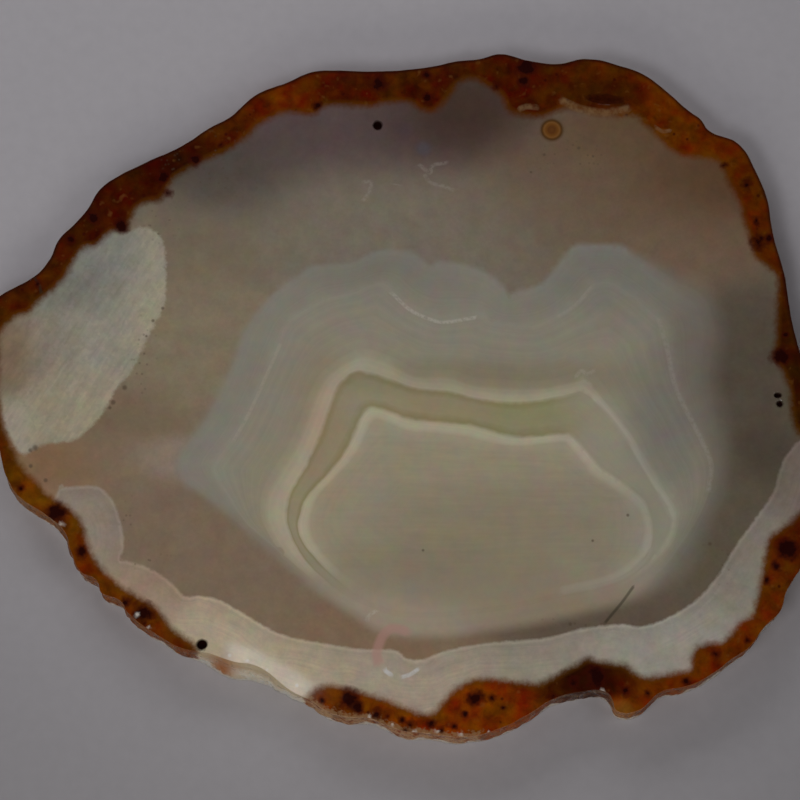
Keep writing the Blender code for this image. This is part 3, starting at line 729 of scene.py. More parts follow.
def spots_and_threads(tree, place, below):
    """Lays the eye-shaped bubble, the specks, threads, clots, pits (near-black, partly painted shade) and
    painted glints over the stone below.
    """
    eye, speckled, single, clot, pit_and_shade, vug, painted_glint = (
        node(tree, "Attribute", give="Fac", attribute_name=name)
        for name in ("eye", "speckled", "speck", "clot", "pit_and_shade", "vug", "painted_glint"))
    rings = node(tree, "ValToRGB", [eye], stops=EYE_COLOURS)
    eye_cover = node(tree, "MapRange", [eye, *EYE_SHARE], interpolation_type="SMOOTHSTEP")
    colour = node(tree, "Mix", [eye_cover, below, rings], data_type="RGBA")
    distance = node(tree, "TexVoronoi", {"Vector": place, "Scale": 1 / SPECK_SPACING})
    grain = node(tree, "MapRange", [distance, *SPECK_EDGE], interpolation_type="SMOOTHSTEP")
    chance = node(tree, "SeparateColor", [distance.node.outputs["Color"]], give="Green")
    some = node(tree, "Math", [chance, SPECK_SHARE], operation="LESS_THAN")
    speck = node(tree, "Math", [grain, some], operation="MULTIPLY")
    speck = node(tree, "Math", [speck, speckled], operation="MULTIPLY")
    speck = node(tree, "Math", [speck, single], operation="MAXIMUM")
    broken = node(tree, "TexNoise", {"Vector": place, "Scale": 1 / THREAD_GAP, "Detail": 3,
                                     "Roughness": 0.7})
    gaps = node(tree, "MapRange", [broken, *THREAD_BREAKS])
    lumpy = node(tree, "TexNoise", {"Vector": place, "Scale": 1 / THREAD_LUMP, "Detail": 3, "W": 5},
                 noise_dimensions="4D")
    lumps = node(tree, "MapRange", [lumpy, *THREAD_LUMPS_SHOW])
    layers = [(speck, "#6f5d4c")]
    for kind, (hex_colour, _) in THREAD_KINDS.items():
        thread = node(tree, "Attribute", give="Fac", attribute_name=kind + "_thread")
        if kind not in UNBROKEN:
            thread = node(tree, "Math", [thread, lumps if kind == "tan" else gaps], operation="MULTIPLY")
        layers.append((thread, hex_colour))
    rag = node(tree, "TexNoise", {"Vector": place, "Scale": 1 / CLOT_RAG, "Detail": 3})
    present = node(tree, "MapRange", [clot, 0, CLOT_STARTS])
    ragged = node(tree, "Math", [rag, present], operation="MULTIPLY")
    near = node(tree, "Math", [ragged, CLOT_RAG_PUSH, clot], operation="MULTIPLY_ADD")
    for start, full, strength, hex_colour in CLOT_LAYERS:
        share = node(tree, "MapRange", [near, start, full, 0, strength], interpolation_type="SMOOTHSTEP")
        layers.append((share, hex_colour))
    # The glints' near-white colour is a painted highlight
    # The pits' near-black colour is partly iron oxide and partly painted shade
    for share, hex_colour in [*layers, (pit_and_shade, "#1e0603"), (vug, "#4a1a06"), (painted_glint, "#fff6e8")]:
        colour = node(tree, "Mix", [share, colour, linear(hex_colour)], data_type="RGBA")
    return colour


# Body of the slice
# One closed skin: the flat face with its pits and worn edge, the rough natural wall, and the flat
# back. The face's points are spread evenly, and closer along the borders, spots and cracks, so that
# each one's edge lies on points of its own.
FACE_STEP = 0.46
BACK_STEP = 0.85
BORDER_STEP = 0.4
THREAD_STEP = 0.3
RING_STEP = 0.28
EVEN_SHARE = 0.6
JITTER = 0.25
CLEARANCE = 0.3
SPOT_GAP = 0.12
THREAD_GAP_ACROSS = 0.1
BORDER_GAP = 0.22
EDGE_ROLL = [(0.0, 0.05), (0.03, 0.015), (0.09, 0.0)]
BACK_ROLL = [(0.1, 0.03), (0.0, 0.12)]
WALL_ROWS = 15
WALL_TOP = 0.93
WALL_FOOT = 0.05
WALL_OUTSIDE = 3.0
WALL_SET_BACK = 0.08
NORMAL_SPREAD = 6
RIND_LUMPS = [(1.5, 0.26), (0.7, 0.14), (0.35, 0.07)]
RIM_RELIEF = 0.05
RIM_RELIEF_SIZE = 0.9
# The ledge's lip stands a little out, and the polish rolls down to it
LIP_CENTRE = (-16.2, -36.4)
LIP_REACH = 2.8
LIP_FILL = 0.6
ROLL_CENTRE = (-16.2, -35.0)
ROLL_REACH = 7.5
ROLL_WAY = (-0.457, -0.889)
ROLL_WIDTH = 3.2
ROLL_SLOPE = 0.26
HOLLOW_REACH = 1.25
SPOT_RINGS = (0.45, 0.8, 1.0, 1.2, 1.5)
THREAD_ROWS = (-1.6, -0.8, 0.0, 0.8, 1.6)
generator = np.random.default_rng(7)

fronts = {name: smooth_curve(points, BORDER_STEP) for name, points in FRONTS.items()}
rim_border, lens_border, white_band_border = (
    smooth_curve(points, BORDER_STEP) for points in (RIM_BORDER, LENS_BORDER, WHITE_BAND_BORDER))
threads = [(kind, width, smooth_curve(points, THREAD_STEP, closed=False))
           for kind, width, points in THREADS.values()]

tangent = np.roll(outline, -1, 0) - np.roll(outline, 1, 0)
outward = np.column_stack([tangent[:, 1], -tangent[:, 0]])
outward = sum(np.roll(outward, shift, 0) for shift in range(-NORMAL_SPREAD, NORMAL_SPREAD + 1))
outward /= np.linalg.norm(outward, axis=1)[:, None]
lip = LIP_FILL * np.exp(-(np.linalg.norm(outline - LIP_CENTRE, axis=1) / LIP_REACH) ** 2)
outline = outline + outward * lip[:, None]


def rings_round(centre, half_length, half_width, turn):
    """Points on rings round a spot, from its centre to just outside it."""
    points = [centre]
    for share in SPOT_RINGS:
        count = max(7, round(2 * math.pi * share * max(half_length, half_width) / RING_STEP))
        for number in range(count):
            angle = 2 * math.pi * (number + 0.5 * (share > 1)) / count
            along, across = half_length * share * math.cos(angle), half_width * share * math.sin(angle)
            points.append((centre[0] + along * math.cos(turn) - across * math.sin(turn),
                           centre[1] + along * math.sin(turn) + across * math.cos(turn)))
    return np.array(points)


def keep_clear(points, others, gap):
    """Leaves out the points that lie closer than the gap to any of the others."""
    if not len(others):
        return points
    finder = finder_of(others)
    return points[[finder.find((x, y, 0.0))[2] > gap for x, y in points]]


def spread_points(step, ring, features):
    """Points in staggered rows over the inside of a ring, moved a little and clear of the features."""
    low, high = ring.min(0), ring.max(0)
    rows = np.arange(low[1], high[1], step * math.sqrt(0.75))
    grid = np.array([(x + 0.5 * step * (number % 2), y)
                     for number, y in enumerate(rows) for x in np.arange(low[0], high[0], step)])
    grid += generator.uniform(-JITTER, JITTER, grid.shape) * step
    grid = grid[signed_distance(grid, ring) > EVEN_SHARE * step]
    return keep_clear(grid, features, EVEN_SHARE * step)


def sheet_of(ring, points):
    """Triangles over the inside of a ring: all the places, with the ring's first, and the faces."""
    places = [Vector(place) for place in np.vstack([ring, points])]
    edges = [(number, (number + 1) % len(ring)) for number in range(len(ring))]
    made, _, faces, origins, _, _ = geometry.delaunay_2d_cdt(places, edges, [], 0, 1e-4, True)
    middles = np.array([sum((made[corner] for corner in face), Vector((0, 0))) / 3 for face in faces])
    faces = [face for face, depth in zip(faces, signed_distance(middles, ring)) if depth > 0]
    order = {}
    for number, origin in enumerate(origins):
        if origin and origin[0] < len(ring):
            order[number] = origin[0]
    following = len(ring)
    for number in range(len(made)):
        if number not in order:
            order[number] = following
            following += 1
    spots = np.zeros((following, 2))
    for number, place in enumerate(made):
        spots[order[number]] = place
    return spots, [tuple(order[corner] for corner in face) for face in faces]


features = np.zeros((0, 2))
spots = [((x, y), radius, radius, 0.0) for x, y, radius in CLOTS + SPECKS + PAINTED_GLINTS]
spots += [(place, length, width, math.radians(turn)) for place, length, width, turn, _ in PITS.values()]
spots.append((EYE_CENTRE, EYE_RADIUS, EYE_RADIUS, 0.0))
for spot in spots:
    features = np.vstack([features, keep_clear(rings_round(*spot), features, SPOT_GAP)])
for kind, width, line in threads:
    direction = np.gradient(line, axis=0)
    direction /= np.linalg.norm(direction, axis=1)[:, None]
    across = np.column_stack([-direction[:, 1], direction[:, 0]])
    for row in THREAD_ROWS:
        beside = line + across * width * row
        features = np.vstack([features, keep_clear(beside, features, THREAD_GAP_ACROSS)])
for border in [*fronts.values(), rim_border, lens_border, white_band_border]:
    features = np.vstack([features, keep_clear(border, features, BORDER_GAP)])

face_ring = outline - outward * EDGE_ROLL[0][1]
features = features[signed_distance(features, face_ring) > CLEARANCE]
face_points, face_triangles = sheet_of(
    face_ring, np.vstack([features, spread_points(FACE_STEP, face_ring, features)]))


def across_spot(points, centre, half_length, half_width, turn):
    """How far each point lies from a spot's centre: 1 is on its border."""
    angle = math.radians(turn)
    away = points - centre
    along = (away[:, 0] * math.cos(angle) + away[:, 1] * math.sin(angle)) / half_length
    across = (away[:, 1] * math.cos(angle) - away[:, 0] * math.sin(angle)) / half_width
    return np.hypot(along, across)


def pit_depth(points):
    """How deep the pits and the vug are at each point."""
    depth = np.zeros(len(points))
    for *spot, deepest in PITS.values():
        depth = np.maximum(depth, deepest * np.sqrt(np.clip(1 - across_spot(points, *spot) ** 2, 0, 1)))
    return depth


def near_roll(points):
    """1 at the middle of the roll above the ledge, and 0 well away from it."""
    return np.exp(-(np.linalg.norm(points - ROLL_CENTRE, axis=1) / ROLL_REACH) ** 4)


def roll_drop(points):
    """How far the face rolls down towards the broken ledge: ever steeper, then at an even slope."""
    share = 1 + (points - ROLL_CENTRE) @ ROLL_WAY / ROLL_WIDTH
    steeper = np.clip(share, 0, 1)
    ramp = steeper ** 3 - steeper ** 4 / 2 + np.clip(share - 1, 0, None)
    return ROLL_SLOPE * ROLL_WIDTH * near_roll(points) * ramp


rim_here = np.clip(-signed_distance(face_points, rim_border), 0, 1)
relief = np.array([noise.noise(Vector((x, y, 3.0)) / RIM_RELIEF_SIZE) for x, y in face_points])
face_z = thickness - pit_depth(face_points) - roll_drop(face_points)
face_z -= RIM_RELIEF * rim_here * np.clip(relief, 0, 1)
ring_z = face_z[:len(outline)]

rows = [np.column_stack([face_ring, ring_z])]
for drop, inset in EDGE_ROLL[1:]:
    rows.append(np.column_stack([outline - outward * inset, ring_z - drop]))
for height in np.linspace(WALL_TOP, WALL_FOOT, WALL_ROWS):
    row = []
    for place, out, top, extra in zip(outline, outward, ring_z, lip):
        z = height * top
        source = Vector((*(place + out * WALL_OUTSIDE), z))
        hit = solid_wall.ray_cast(source, Vector((*-out, 0.0)), 2 * WALL_OUTSIDE)[0]
        hit = hit if hit else Vector((*place, z))
        rough = sum(depth * noise.noise(hit / size) for size, depth in RIND_LUMPS)
        inset = (rough + WALL_SET_BACK) * math.sin(math.pi * height) ** 0.5 - extra * height
        row.append((hit.x - out[0] * inset, hit.y - out[1] * inset, z))
    rows.append(np.array(row))
for height, inset in BACK_ROLL:
    rows.append(np.column_stack([rows[-1][:, :2] - outward * inset, np.full(len(outline), height)]))
back_ring = rows[-1][:, :2]
back_points, back_triangles = sheet_of(back_ring, spread_points(BACK_STEP, back_ring, np.zeros((0, 2))))

count = len(outline)
verts = np.vstack([np.column_stack([face_points, face_z]), *rows[1:],
                   np.column_stack([back_points[count:], np.zeros(len(back_points) - count)])])
row_starts = [0, *(len(face_points) + count * number for number in range(len(rows) - 1))]
middles = face_points[np.array(face_triangles)].mean(1)
hollow = np.zeros(len(middles), bool)
for *spot, _ in PITS.values():
    hollow |= across_spot(middles, *spot) < HOLLOW_REACH
FACE, BACK, WALL, HOLLOW = range(4)
faces = list(face_triangles)
finishes = [HOLLOW if here else FACE for here in hollow]
for upper, lower in zip(row_starts, row_starts[1:]):
    for number in range(count):
        following = (number + 1) % count
        faces.append((upper + number, lower + number, lower + following, upper + following))
        finishes.append(WALL)
faces += [tuple(row_starts[-1] + corner for corner in reversed(face)) for face in back_triangles]
finishes += [BACK] * len(back_triangles)

mesh = bpy.data.meshes.new("agate_slice_stone")
mesh.from_pydata([tuple(vert * MM) for vert in verts], [], faces)
mesh.polygons.foreach_set("material_index", finishes)
mesh.shade_smooth()
ends = np.zeros(2 * len(mesh.edges), int)
mesh.edges.foreach_get("vertices", ends)
ends = ends.reshape(-1, 2)
round_the_face = (ends < count).all(1) & np.isin(np.abs(ends[:, 0] - ends[:, 1]), (1, count - 1))
mesh.attributes.new("sharp_edge", "BOOLEAN", "EDGE").data.foreach_set("value", round_the_face)

# Pattern on the body
# Each point of the skin is told how deep it lies in the rim, the lens, the white band and the
# banded centre, and which tint is there, so that the pattern runs through the whole thickness.
RUSTY_CENTRE = (-22.3, -34.8)
RUSTY_REACH = (1.8, 1.6)
CRUST_MIDDLE = -1.0
CRUST_HALF_LENGTH = 13.0
CRUST_WIDTH = 1.6
CRUST_ENDS_OVER = 3.0
OUTSIDE_REACH = 10.0
SOFTENING_RUN = 8.0
RIGHT_STARTS = 28.0
LEFT_STARTS = 14.0
FOOT_STARTS = 14.0
GAP_EDGE = 0.15
DOT_EDGE = 1.5
THREAD_EDGE = 1.6
PIT_EDGE = 1.15
PIT_BLUR = 0.3
CLOT_HALO = 2.2
CLOT_FAINTEST = 0.68
CLOT_GAIN = 0.4
SPECK_STRENGTH = 0.7
PAINTED_GLINT_STRENGTH = 0.85
SPECKLE_STRENGTH = 0.5
VUG_STRENGTH = 0.85
places = verts[:, :2]
x, y = places.T
depths = [signed_distance(places, border) for border in fronts.values()]
growth = np.clip(depths[0] / OUTSIDE_REACH, -1, 0)
for outer, (first, second) in enumerate(zip(depths, depths[1:])):
    between = (first > 0) & (second <= 0)
    growth[between] = outer + first[between] / (first[between] - second[between] + 1e-6)
core = depths[-1] > 0
growth[core] = len(depths) - 1 + np.clip(depths[-1][core] / CORE_DEPTH, 0, 1)
softness = FRONT_SOFTNESS + FOOT_SOFTNESS * np.clip(-(y + FOOT_STARTS) / SOFTENING_RUN, 0, 1)
for side_softness, past in ((RIGHT_SOFTNESS, x - RIGHT_STARTS), (LEFT_SOFTNESS, -(x + LEFT_STARTS))):
    softness += (side_softness - FRONT_SOFTNESS) * np.clip(past / SOFTENING_RUN, 0, 1)


def smooth_step(values):
    """0 below 0, 1 above 1, and an even S between."""
    share = np.clip(values, 0, 1)
    return share * share * (3 - 2 * share)


def distance_along(points, line):
    """The distance of each point from an open line."""
    best = np.full(len(points), np.inf)
    for a, b in zip(line, line[1:]):
        share = np.clip(((points - a) @ (b - a)) / ((b - a) @ (b - a)), 0, 1)[:, None]
        best = np.minimum(best, np.linalg.norm(points - a - share * (b - a), axis=1))
    return best


gap_start, gap_end = GAP_GROWTH
bands_start, bands_end = BANDS_GROWTH
edge_mm = signed_distance(places, outline)
in_gap = smooth_step((growth - gap_start) / GAP_EDGE) * smooth_step((gap_end - growth) / GAP_EDGE)
in_bands = (growth > bands_start) & (growth < bands_end)
values = {
    "rim_mm": -signed_distance(places, rim_border),
    "lens_mm": signed_distance(places, lens_border),
    "white_mm": signed_distance(places, white_band_border),
    # edge_mm is pushed inwards on the near side, so that the dark edge line, partly painted shade, shows
    # only on the far side
    "edge_mm": edge_mm + np.clip(-y / OUTSIDE_REACH, 0, 1),
    "growth": growth,
    "gap_faded": np.maximum(smooth_step((x - GAP_FADES_AT) / GAP_FADES_OVER) * in_gap,
                            smooth_step((x - BANDS_FADE_AT) / BANDS_FADE_OVER) * BANDS_FADED * in_bands),
    "banded": smooth_step(0.5 + depths[0] / (2 * softness)),
    "haze": HAZE_STRENGTH * smooth_step((HAZE_TOP - y) / (HAZE_TOP - HAZE_BOTTOM)),
    "eye": np.linalg.norm(places - EYE_CENTRE, axis=1) / EYE_RADIUS,
    "worn": near_roll(places),
    "crusty": (smooth_step((CRUST_HALF_LENGTH - np.abs(x - CRUST_MIDDLE)) / CRUST_ENDS_OVER)
               * smooth_step((CRUST_WIDTH - edge_mm) / CRUST_WIDTH) * (y < 0)),
    "rusty": np.exp(-(((places - RUSTY_CENTRE) / RUSTY_REACH) ** 2).sum(1)),
}


def add_mark(name, strength):
    """Marks the points under a name, and keeps the stronger where two marks meet."""
    values[name] = np.maximum(values.get(name, np.zeros(len(places))), strength)


for *centre, radius in CLOTS:
    away = np.linalg.norm(places - centre, axis=1) / radius
    add_mark("clot", min(1.0, CLOT_FAINTEST + CLOT_GAIN * radius) * np.clip(1 - away / CLOT_HALO, 0, 1))
for name, dots, strength in (("speck", SPECKS, SPECK_STRENGTH), ("painted_glint", PAINTED_GLINTS, PAINTED_GLINT_STRENGTH)):
    for *centre, radius in dots:
        away = np.linalg.norm(places - centre, axis=1) / radius
        add_mark(name, strength * smooth_step(DOT_EDGE - away))
for centre, reach in SPECKLED.values():
    add_mark("speckled", SPECKLE_STRENGTH * np.exp(-(((places - centre) / reach) ** 2).sum(1)))
for name, (*spot, _) in PITS.items():
    kind, strength = ("vug", VUG_STRENGTH) if "vug" in name else ("pit_and_shade", 1.0)
    add_mark(kind, strength * smooth_step((PIT_EDGE - across_spot(places, *spot)) / PIT_BLUR))
for kind, width, line in threads:
    strength = THREAD_KINDS[kind][1]
    add_mark(kind + "_thread", strength * smooth_step(THREAD_EDGE - distance_along(places, line) / width))
spur_edge = SPUR_HALF_WIDTH - distance_along(places, smooth_curve(SPUR_LINE, 1.0, False))
spur = smooth_step(0.5 + spur_edge / (2 * SPUR_SOFTNESS)) * (1 - values["banded"])
clear_tone = blended_tones(places, CLEAR_TONES)
clear_tone += spur[:, None] * (blended_tones(places, SPUR_TONES) - clear_tone)
tones = {"clear_tone": clear_tone}
for name, patches in (("rim_tone", RIM_TONES), ("band_tint", BAND_TINTS), ("lens_tone", LENS_TONES),
                      ("white_tone", WHITE_BAND_TONES)):
    tones[name] = blended_tones(places, patches)
for name, numbers in values.items():
    mesh.attributes.new(name, "FLOAT", "POINT").data.foreach_set("value", numbers)
for name, colours in tones.items():
    layer = mesh.attributes.new(name, "FLOAT_COLOR", "POINT")
    layer.data.foreach_set("color", np.column_stack([colours, np.ones(len(places))]).ravel())


# Finishes
# The face was ground and polished to a soft gloss, the back was left as the saw cut it, and the wall
# is the nodule's natural rind.
QUARTZ_IOR = 1.54
TINT_CLOUD = 2.4
TINT_SHARE = 0.2
TINT_GAIN = 2.0
GRIT = 0.4


def stone_colour(tree, place):
    """The whole pattern, from the clear stone up to the spots, and how much the rim covers."""
    colour = clear_chalcedony(tree, place)
    for lay in (banded_centre, white_lens, white_band):
        colour = lay(tree, place, colour)
    cloud = node(tree, "TexNoise", {"Vector": place, "Scale": 1 / TINT_CLOUD, "Detail": 6,
                                    "Roughness": 0.66}, give="Color")
    tints = node(tree, "Mix", [TINT_SHARE, linear("#bcbcbc"), cloud], data_type="RGBA")
    for tint in (tints, (TINT_GAIN, TINT_GAIN, TINT_GAIN, 1)):
        colour = node(tree, "Mix", [1.0, colour, tint], data_type="RGBA", blend_type="MULTIPLY")
    colour, rim = stained_rim(tree, place, colour)
    return spots_and_threads(tree, place, colour), rim


def new_material(name):
    """An empty material with a Principled shader: itself, its tree and its own coordinates in mm."""
    material = bpy.data.materials.new(name)
    material.use_nodes = True
    tree = material.node_tree
    here = node(tree, "TexCoord", give="Object")
    return material, tree, node(tree, "VectorMath", [here, (1 / MM, 1 / MM, 1 / MM)], operation="MULTIPLY")


def finish(tree, inputs):
    """Gives a tree's shader its links and values, by the names of its inputs."""
    shader = tree.nodes["Principled BSDF"]
    feed(tree, ((shader.inputs[name], value) for name, value in inputs.items()))


# Polished chalcedony gives the eye a soft gloss, with hairline polishing marks and, in the rim, fine
# pores that the polish didn't reach. Real marks are a few hundredths of a millimetre wide: they are
# drawn as coarse as they need to show.
POLISH_HAZE = 5.0
POLISHING_MARK = 0.3
PORE = 0.5
MARK_STRENGTH = (0.12, 0.03)
GLOSS = (0.13, 0.21)
WORN_DULLNESS = 0.1


def polished_agate():
    material, tree, place = new_material("polished agate")
    colour, rim = stone_colour(tree, place)
    haze, marks, pores = (
        node(tree, "TexNoise", {"Vector": place, "Scale": 1 / size, "Detail": detail})
        for size, detail in ((POLISH_HAZE, 4), (POLISHING_MARK, 3), (PORE, 4)))
    gloss = node(tree, "MapRange", [haze, *NOISE_SPREAD, *GLOSS])
    worn = node(tree, "Attribute", give="Fac", attribute_name="worn")
    rough = node(tree, "Math", [worn, WORN_DULLNESS, gloss], operation="MULTIPLY_ADD")
    mixed = node(tree, "Mix", [rim, marks, pores])
    strength = node(tree, "Math", [rim, *MARK_STRENGTH], operation="MULTIPLY_ADD")
    normal = node(tree, "Bump", {"Strength": strength, "Distance": 0.05 * MM, "Height": mixed})
    finish(tree, {"Base Color": colour, "Roughness": rough, "Normal": normal, "IOR": QUARTZ_IOR})
    return material


# A sawn face gives the eye the same pattern without gloss, under faint arcs left by the blade.
SAW_MARK_SPACING = 1.1
BLADE_WOBBLE = 1.5
SAW_LIGHT = (0.94, 1.04)
SAWN_ROUGHNESS = (0.5, 0.72)
SAW_MARK_HEIGHT = 0.6


def sawn_agate():
    material, tree, place = new_material("sawn agate")
    colour, _ = stone_colour(tree, place)
    arcs = node(tree, "TexWave", {"Vector": place, "Scale": 1 / SAW_MARK_SPACING / 3,
                                  "Distortion": BLADE_WOBBLE, "Detail": 2},
                give="Fac", bands_direction="DIAGONAL")
    light = node(tree, "MapRange", [arcs, 0, 1, *SAW_LIGHT])
    dusty = node(tree, "HueSaturation", {"Color": colour, "Value": light, "Saturation": 0.8})
    grit = node(tree, "TexNoise", {"Vector": place, "Scale": 1 / GRIT, "Detail": 4})
    rough = node(tree, "MapRange", [grit, 0, 1, *SAWN_ROUGHNESS])
    height = node(tree, "Math", [arcs, SAW_MARK_HEIGHT, grit], operation="MULTIPLY_ADD")
    normal = node(tree, "Bump", {"Strength": 0.25, "Distance": 0.08 * MM, "Height": height})
    finish(tree, {"Base Color": dusty, "Roughness": rough, "Normal": normal, "IOR": QUARTZ_IOR})
    return material


# The pits and the vug are rough inside and coated with iron oxide, so that they look dark and dull.
# The pits' near-black colour is partly that oxide and partly painted shade of a deep hole.
COATING_SHINE = 0.04
COATING_LIGHT = (0.7, 1.2)
COATING_ROUGHNESS = (0.75, 0.95)


def stained_hollow():
    material, tree, place = new_material("stained hollow")
    colour, _ = stone_colour(tree, place)
    grit = node(tree, "TexNoise", {"Vector": place, "Scale": 1 / GRIT, "Detail": 4})
    light = node(tree, "MapRange", [grit, *NOISE_SPREAD, *COATING_LIGHT])
    coat = node(tree, "HueSaturation", {"Color": colour, "Value": light})
    rough = node(tree, "MapRange", [grit, 0, 1, *COATING_ROUGHNESS])
    normal = node(tree, "Bump", {"Strength": 0.4, "Distance": 0.1 * MM, "Height": grit})
    finish(tree, {"Base Color": coat, "Roughness": rough, "Normal": normal, "IOR": QUARTZ_IOR,
                  "Specular IOR Level": COATING_SHINE})
    return material


# The rind is porous, iron-stained stone with tiny crystal faces that glint. Where the white band
# reaches the edge it is bare, matte beige stone, and a pale crust clings along its foot; on the near
# side the crust is widened into a painted highlight of the lit foot.
RIND_LUMP = 1.2
RIND_LIGHT = (0.7, 1.9)
RIND_WAVER = 1.1
RIND_PUSH = 1.4
RIND_STAIN = (0.2, 1.0)
OLIVE_PUSH = 1.6
OLIVE_SHARE = (3.5, 4.4, 0, 0.65)
CLAY_PATCH = 2.6
CLAY_SHARE = (0.5, 0.62, 0, 0.55)
CRUMB_SHARE = (0.42, 0.55, 0, 0.65)
CRUST_AND_HIGHLIGHT_PATCH = 4.5
CRUST_AND_HIGHLIGHT_PUSH = -1.6
CRUST_AND_HIGHLIGHT_SHARE = (2.0, 1.35, 0, 0.8)
CRUST_AND_HIGHLIGHT_BY_SIDE = (-30, 5, 3.4, 5.5)
CRYSTAL = 0.45
CRYSTAL_HEIGHT = 0.5
CRYSTAL_ROUGHNESS = (0.12, 0.4, 0.14, 0.7)
GLOW_SHARE = 0.6
GLOW_REACH = 3.0
GLOW_TONE = (1.0, 0.8, 0.6)


def iron_stained_rind():
    material, tree, place = new_material("iron-stained rind")
    rim, rusty, crusty = (node(tree, "Attribute", give="Fac", attribute_name=name)
                          for name in ("rim_mm", "rusty", "crusty"))
    waver = node(tree, "TexNoise", {"Vector": place, "Scale": 1 / RIND_WAVER, "Detail": 4})
    border = node(tree, "Math", [waver, RIND_PUSH, rim], operation="MULTIPLY_ADD")
    stained = node(tree, "MapRange", [border, *RIND_STAIN], interpolation_type="SMOOTHSTEP")
    lumps = node(tree, "TexNoise", {"Vector": place, "Scale": 1 / RIND_LUMP, "Detail": 6, "Roughness": 0.7})
    bare = node(tree, "ValToRGB", [lumps], stops=[(0.34, "#f0dabc"), (0.46, "#fae8cc"), (0.6, "#fff2de")])
    across = node(tree, "SeparateXYZ", [place], give="Y")
    height = across.node.outputs["Z"]
    upper = node(tree, "Math", [lumps, OLIVE_PUSH, height], operation="MULTIPLY_ADD")
    olive = node(tree, "MapRange", [upper, *OLIVE_SHARE], interpolation_type="SMOOTHSTEP")
    tone = node(tree, "Attribute", attribute_name="rim_tone")
    light = node(tree, "MapRange", [lumps, *NOISE_SPREAD, *RIND_LIGHT])
    rust = node(tree, "HueSaturation", {"Color": tone, "Value": light, "Hue": 0.512})
    weather = node(tree, "TexNoise", {"Vector": place, "Scale": 1 / CLAY_PATCH, "Detail": 6,
                                      "Roughness": 0.65, "Distortion": 0.4})
    clay = node(tree, "MapRange", [weather, *CLAY_SHARE])
    crumbs = node(tree, "Math", [lumps, crusty], operation="MULTIPLY")
    scab = node(tree, "MapRange", [crumbs, *CRUMB_SHARE])
    for share, hex_colour in ((olive, "#cdb98c"), (rusty, "#c07840")):
        bare = node(tree, "Mix", [share, bare, linear(hex_colour)], data_type="RGBA")
    for share, hex_colour in ((clay, "#927a5c"), (scab, "#d8b488")):
        rust = node(tree, "Mix", [share, rust, linear(hex_colour)], data_type="RGBA")
    skin = node(tree, "Mix", [stained, bare, rust], data_type="RGBA")
    # Painted highlight: the pale foot is wider and brighter on the near, lit side than on the far side
    highlight_by_side = node(tree, "MapRange", [across, *CRUST_AND_HIGHLIGHT_BY_SIDE])
    chips = node(tree, "TexNoise", {"Vector": place, "Scale": 1 / CRUST_AND_HIGHLIGHT_PATCH, "Detail": 6,
                                    "Roughness": 0.65})
    wavy = node(tree, "Math", [waver, CRUST_AND_HIGHLIGHT_PUSH, height], operation="MULTIPLY_ADD")
    ragged = node(tree, "Math", [highlight_by_side, chips, wavy], operation="MULTIPLY_ADD")
    crust_and_highlight = node(tree, "MapRange", [ragged, *CRUST_AND_HIGHLIGHT_SHARE], interpolation_type="SMOOTHSTEP")
    crusted_and_lit = node(tree, "Mix", [crust_and_highlight, skin, linear("#fff2e0")], data_type="RGBA")
    crystals = node(tree, "TexVoronoi", {"Vector": place, "Scale": 1 / CRYSTAL}, give="Color")
    tilt = node(tree, "SeparateColor", [crystals], give="Red")
    rough = node(tree, "MapRange", [tilt.node.outputs["Blue"], *CRYSTAL_ROUGHNESS])
    relief = node(tree, "Math", [tilt, CRYSTAL_HEIGHT, lumps], operation="MULTIPLY_ADD")
    normal = node(tree, "Bump", {"Strength": 0.7, "Distance": 0.25 * MM, "Height": relief})
    finish(tree, {"Base Color": crusted_and_lit, "Roughness": rough, "Normal": normal, "IOR": QUARTZ_IOR,
                  "Subsurface Weight": GLOW_SHARE, "Subsurface Radius": GLOW_TONE,
                  "Subsurface Scale": GLOW_REACH * MM})
    return material


stone = bpy.data.objects.new("agate_slice_stone", mesh)
scene.collection.objects.link(stone)
for material in (polished_agate(), sawn_agate(), iron_stained_rind(), stained_hollow()):
    mesh.materials.append(material)
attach(stone, "root")
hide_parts("agate_slice")

# Table
# The slice lies on a plain pale matte sheet of paper, with painted shade that makes it darker towards
# the near corners. Its fibres are drawn as coarse as they need to show.
FLOOR_HALF = 1500
FIBRES_PER_MM = 0.6
SHADE_BEND = 120
SHADE = (-75, -5, 0.73, 1.0)
PAPER_ROUGHNESS = 0.9
PAPER_SHINE = 0.1
floor_mesh = bpy.data.meshes.new("floor")
floor_mesh.from_pydata([(x * FLOOR_HALF * MM, y * FLOOR_HALF * MM, 0.0)
                        for x, y in ((-1, -1), (1, -1), (1, 1), (-1, 1))], [], [(0, 1, 2, 3)])
floor = bpy.data.objects.new("floor", floor_mesh)
scene.collection.objects.link(floor)
paper, tree, place = new_material("matte white paper")
fibres = node(tree, "TexNoise", {"Vector": place, "Scale": FIBRES_PER_MM, "Detail": 4})
white = node(tree, "ValToRGB", [fibres], stops=[(0.3, "#d0cdd0"), (0.7, "#d4d1d4")])
across = node(tree, "SeparateXYZ", [place])
sideways = node(tree, "Math", [across, across], operation="MULTIPLY")
away = node(tree, "Math", [sideways, -1 / SHADE_BEND, across.node.outputs["Y"]], operation="MULTIPLY_ADD")
# Painted shade towards the near corners
shade = node(tree, "MapRange", [away, *SHADE], interpolation_type="SMOOTHSTEP")
shaded = node(tree, "HueSaturation", {"Color": white, "Value": shade})
finish(tree, {"Base Color": shaded, "Roughness": PAPER_ROUGHNESS, "Specular IOR Level": PAPER_SHINE})
floor_mesh.materials.append(paper)

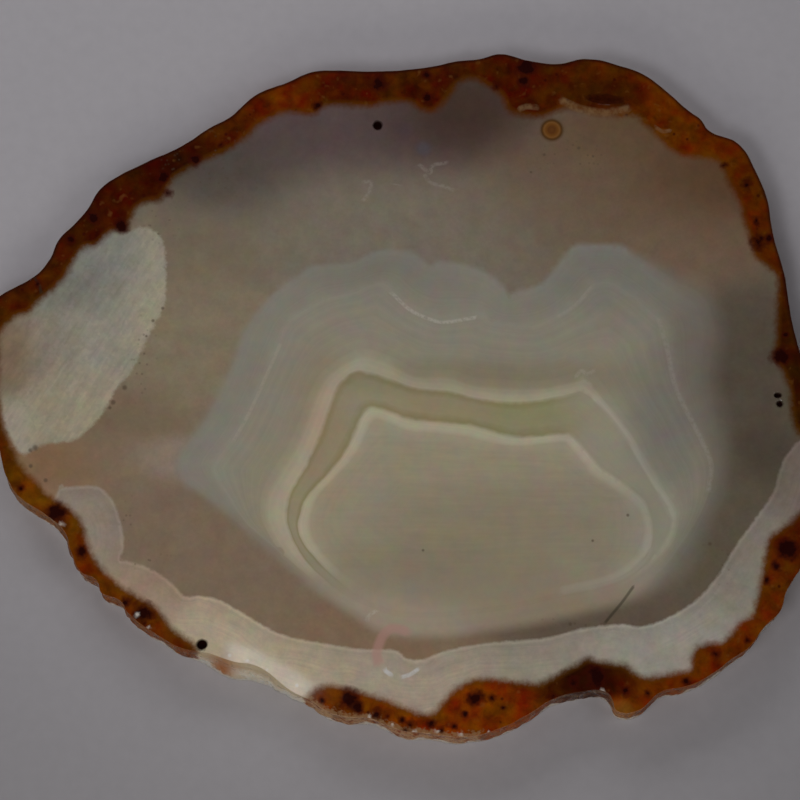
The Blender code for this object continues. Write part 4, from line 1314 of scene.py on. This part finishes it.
# Studio light
# Five soft lamps set round the slice, so that none of them shows in the flat polish and the rim keeps
# its deep colour. The near one shines in the rounded edge above the ledge, and the low one lights the
# near wall.
LAMPS = {
    "left": ((-260, -40, 300), (180, 160), 0.06, "#fcfbff"),
    "far": ((-60, 210, 150), (260, 80), 0.165, "#fcfbff"),
    "right": ((240, -60, 300), (180, 160), 0.11, "#fcfbff"),
    "near": ((-110, -150, 340), (150, 100), 0.2, "#fcfbff"),
    "near, low": ((-60, -260, 170), (260, 100), 0.14, "#fffaf2"),
}
ROOM_TONE = "#8c8c92"
ROOM_STRENGTH = 0.03
for name, (place, size, power, hex_colour) in LAMPS.items():
    lamp = bpy.data.lights.new(name, "AREA")
    lamp.shape = "RECTANGLE"
    lamp.size, lamp.size_y = size[0] * MM, size[1] * MM
    lamp.energy = power
    lamp.color = linear(hex_colour)[:3]
    holder = bpy.data.objects.new(name, lamp)
    holder.location = Vector(place) * MM
    holder.rotation_euler = (-Vector(place)).to_track_quat("-Z", "Y").to_euler()
    scene.collection.objects.link(holder)
world = bpy.data.worlds.new("dim room")
world.use_nodes = True
world.node_tree.nodes["Background"].inputs["Color"].default_value = linear(ROOM_TONE)
world.node_tree.nodes["Background"].inputs["Strength"].default_value = ROOM_STRENGTH
scene.world = world
scene.view_settings.view_transform = "Standard"

# Camera
# Nearly straight above, a little towards the near side, at the photograph's distance.
CAMERA_AIM = (-0.15, -1.4, 5.0)
CAMERA_DISTANCE = 375.03
CAMERA_ELEVATION = 78.0
FOCAL_LENGTH = 135.0
SENSOR_WIDTH = 36.0
CLIP_START = 10.0
camera_data = bpy.data.cameras.new("camera")
camera_data.lens = FOCAL_LENGTH
camera_data.sensor_width = SENSOR_WIDTH
camera_data.clip_start = CLIP_START * MM
camera = bpy.data.objects.new("camera", camera_data)
tilt = math.radians(CAMERA_ELEVATION)
back_way = Vector((0.0, -math.cos(tilt), math.sin(tilt)))
camera.location = (Vector(CAMERA_AIM) + back_way * CAMERA_DISTANCE) * MM
camera.rotation_euler = (math.pi / 2 - tilt, 0.0, 0.0)
scene.collection.objects.link(camera)
scene.camera = camera

# Update
# The view layer is brought up to date.
bpy.context.view_layer.update()
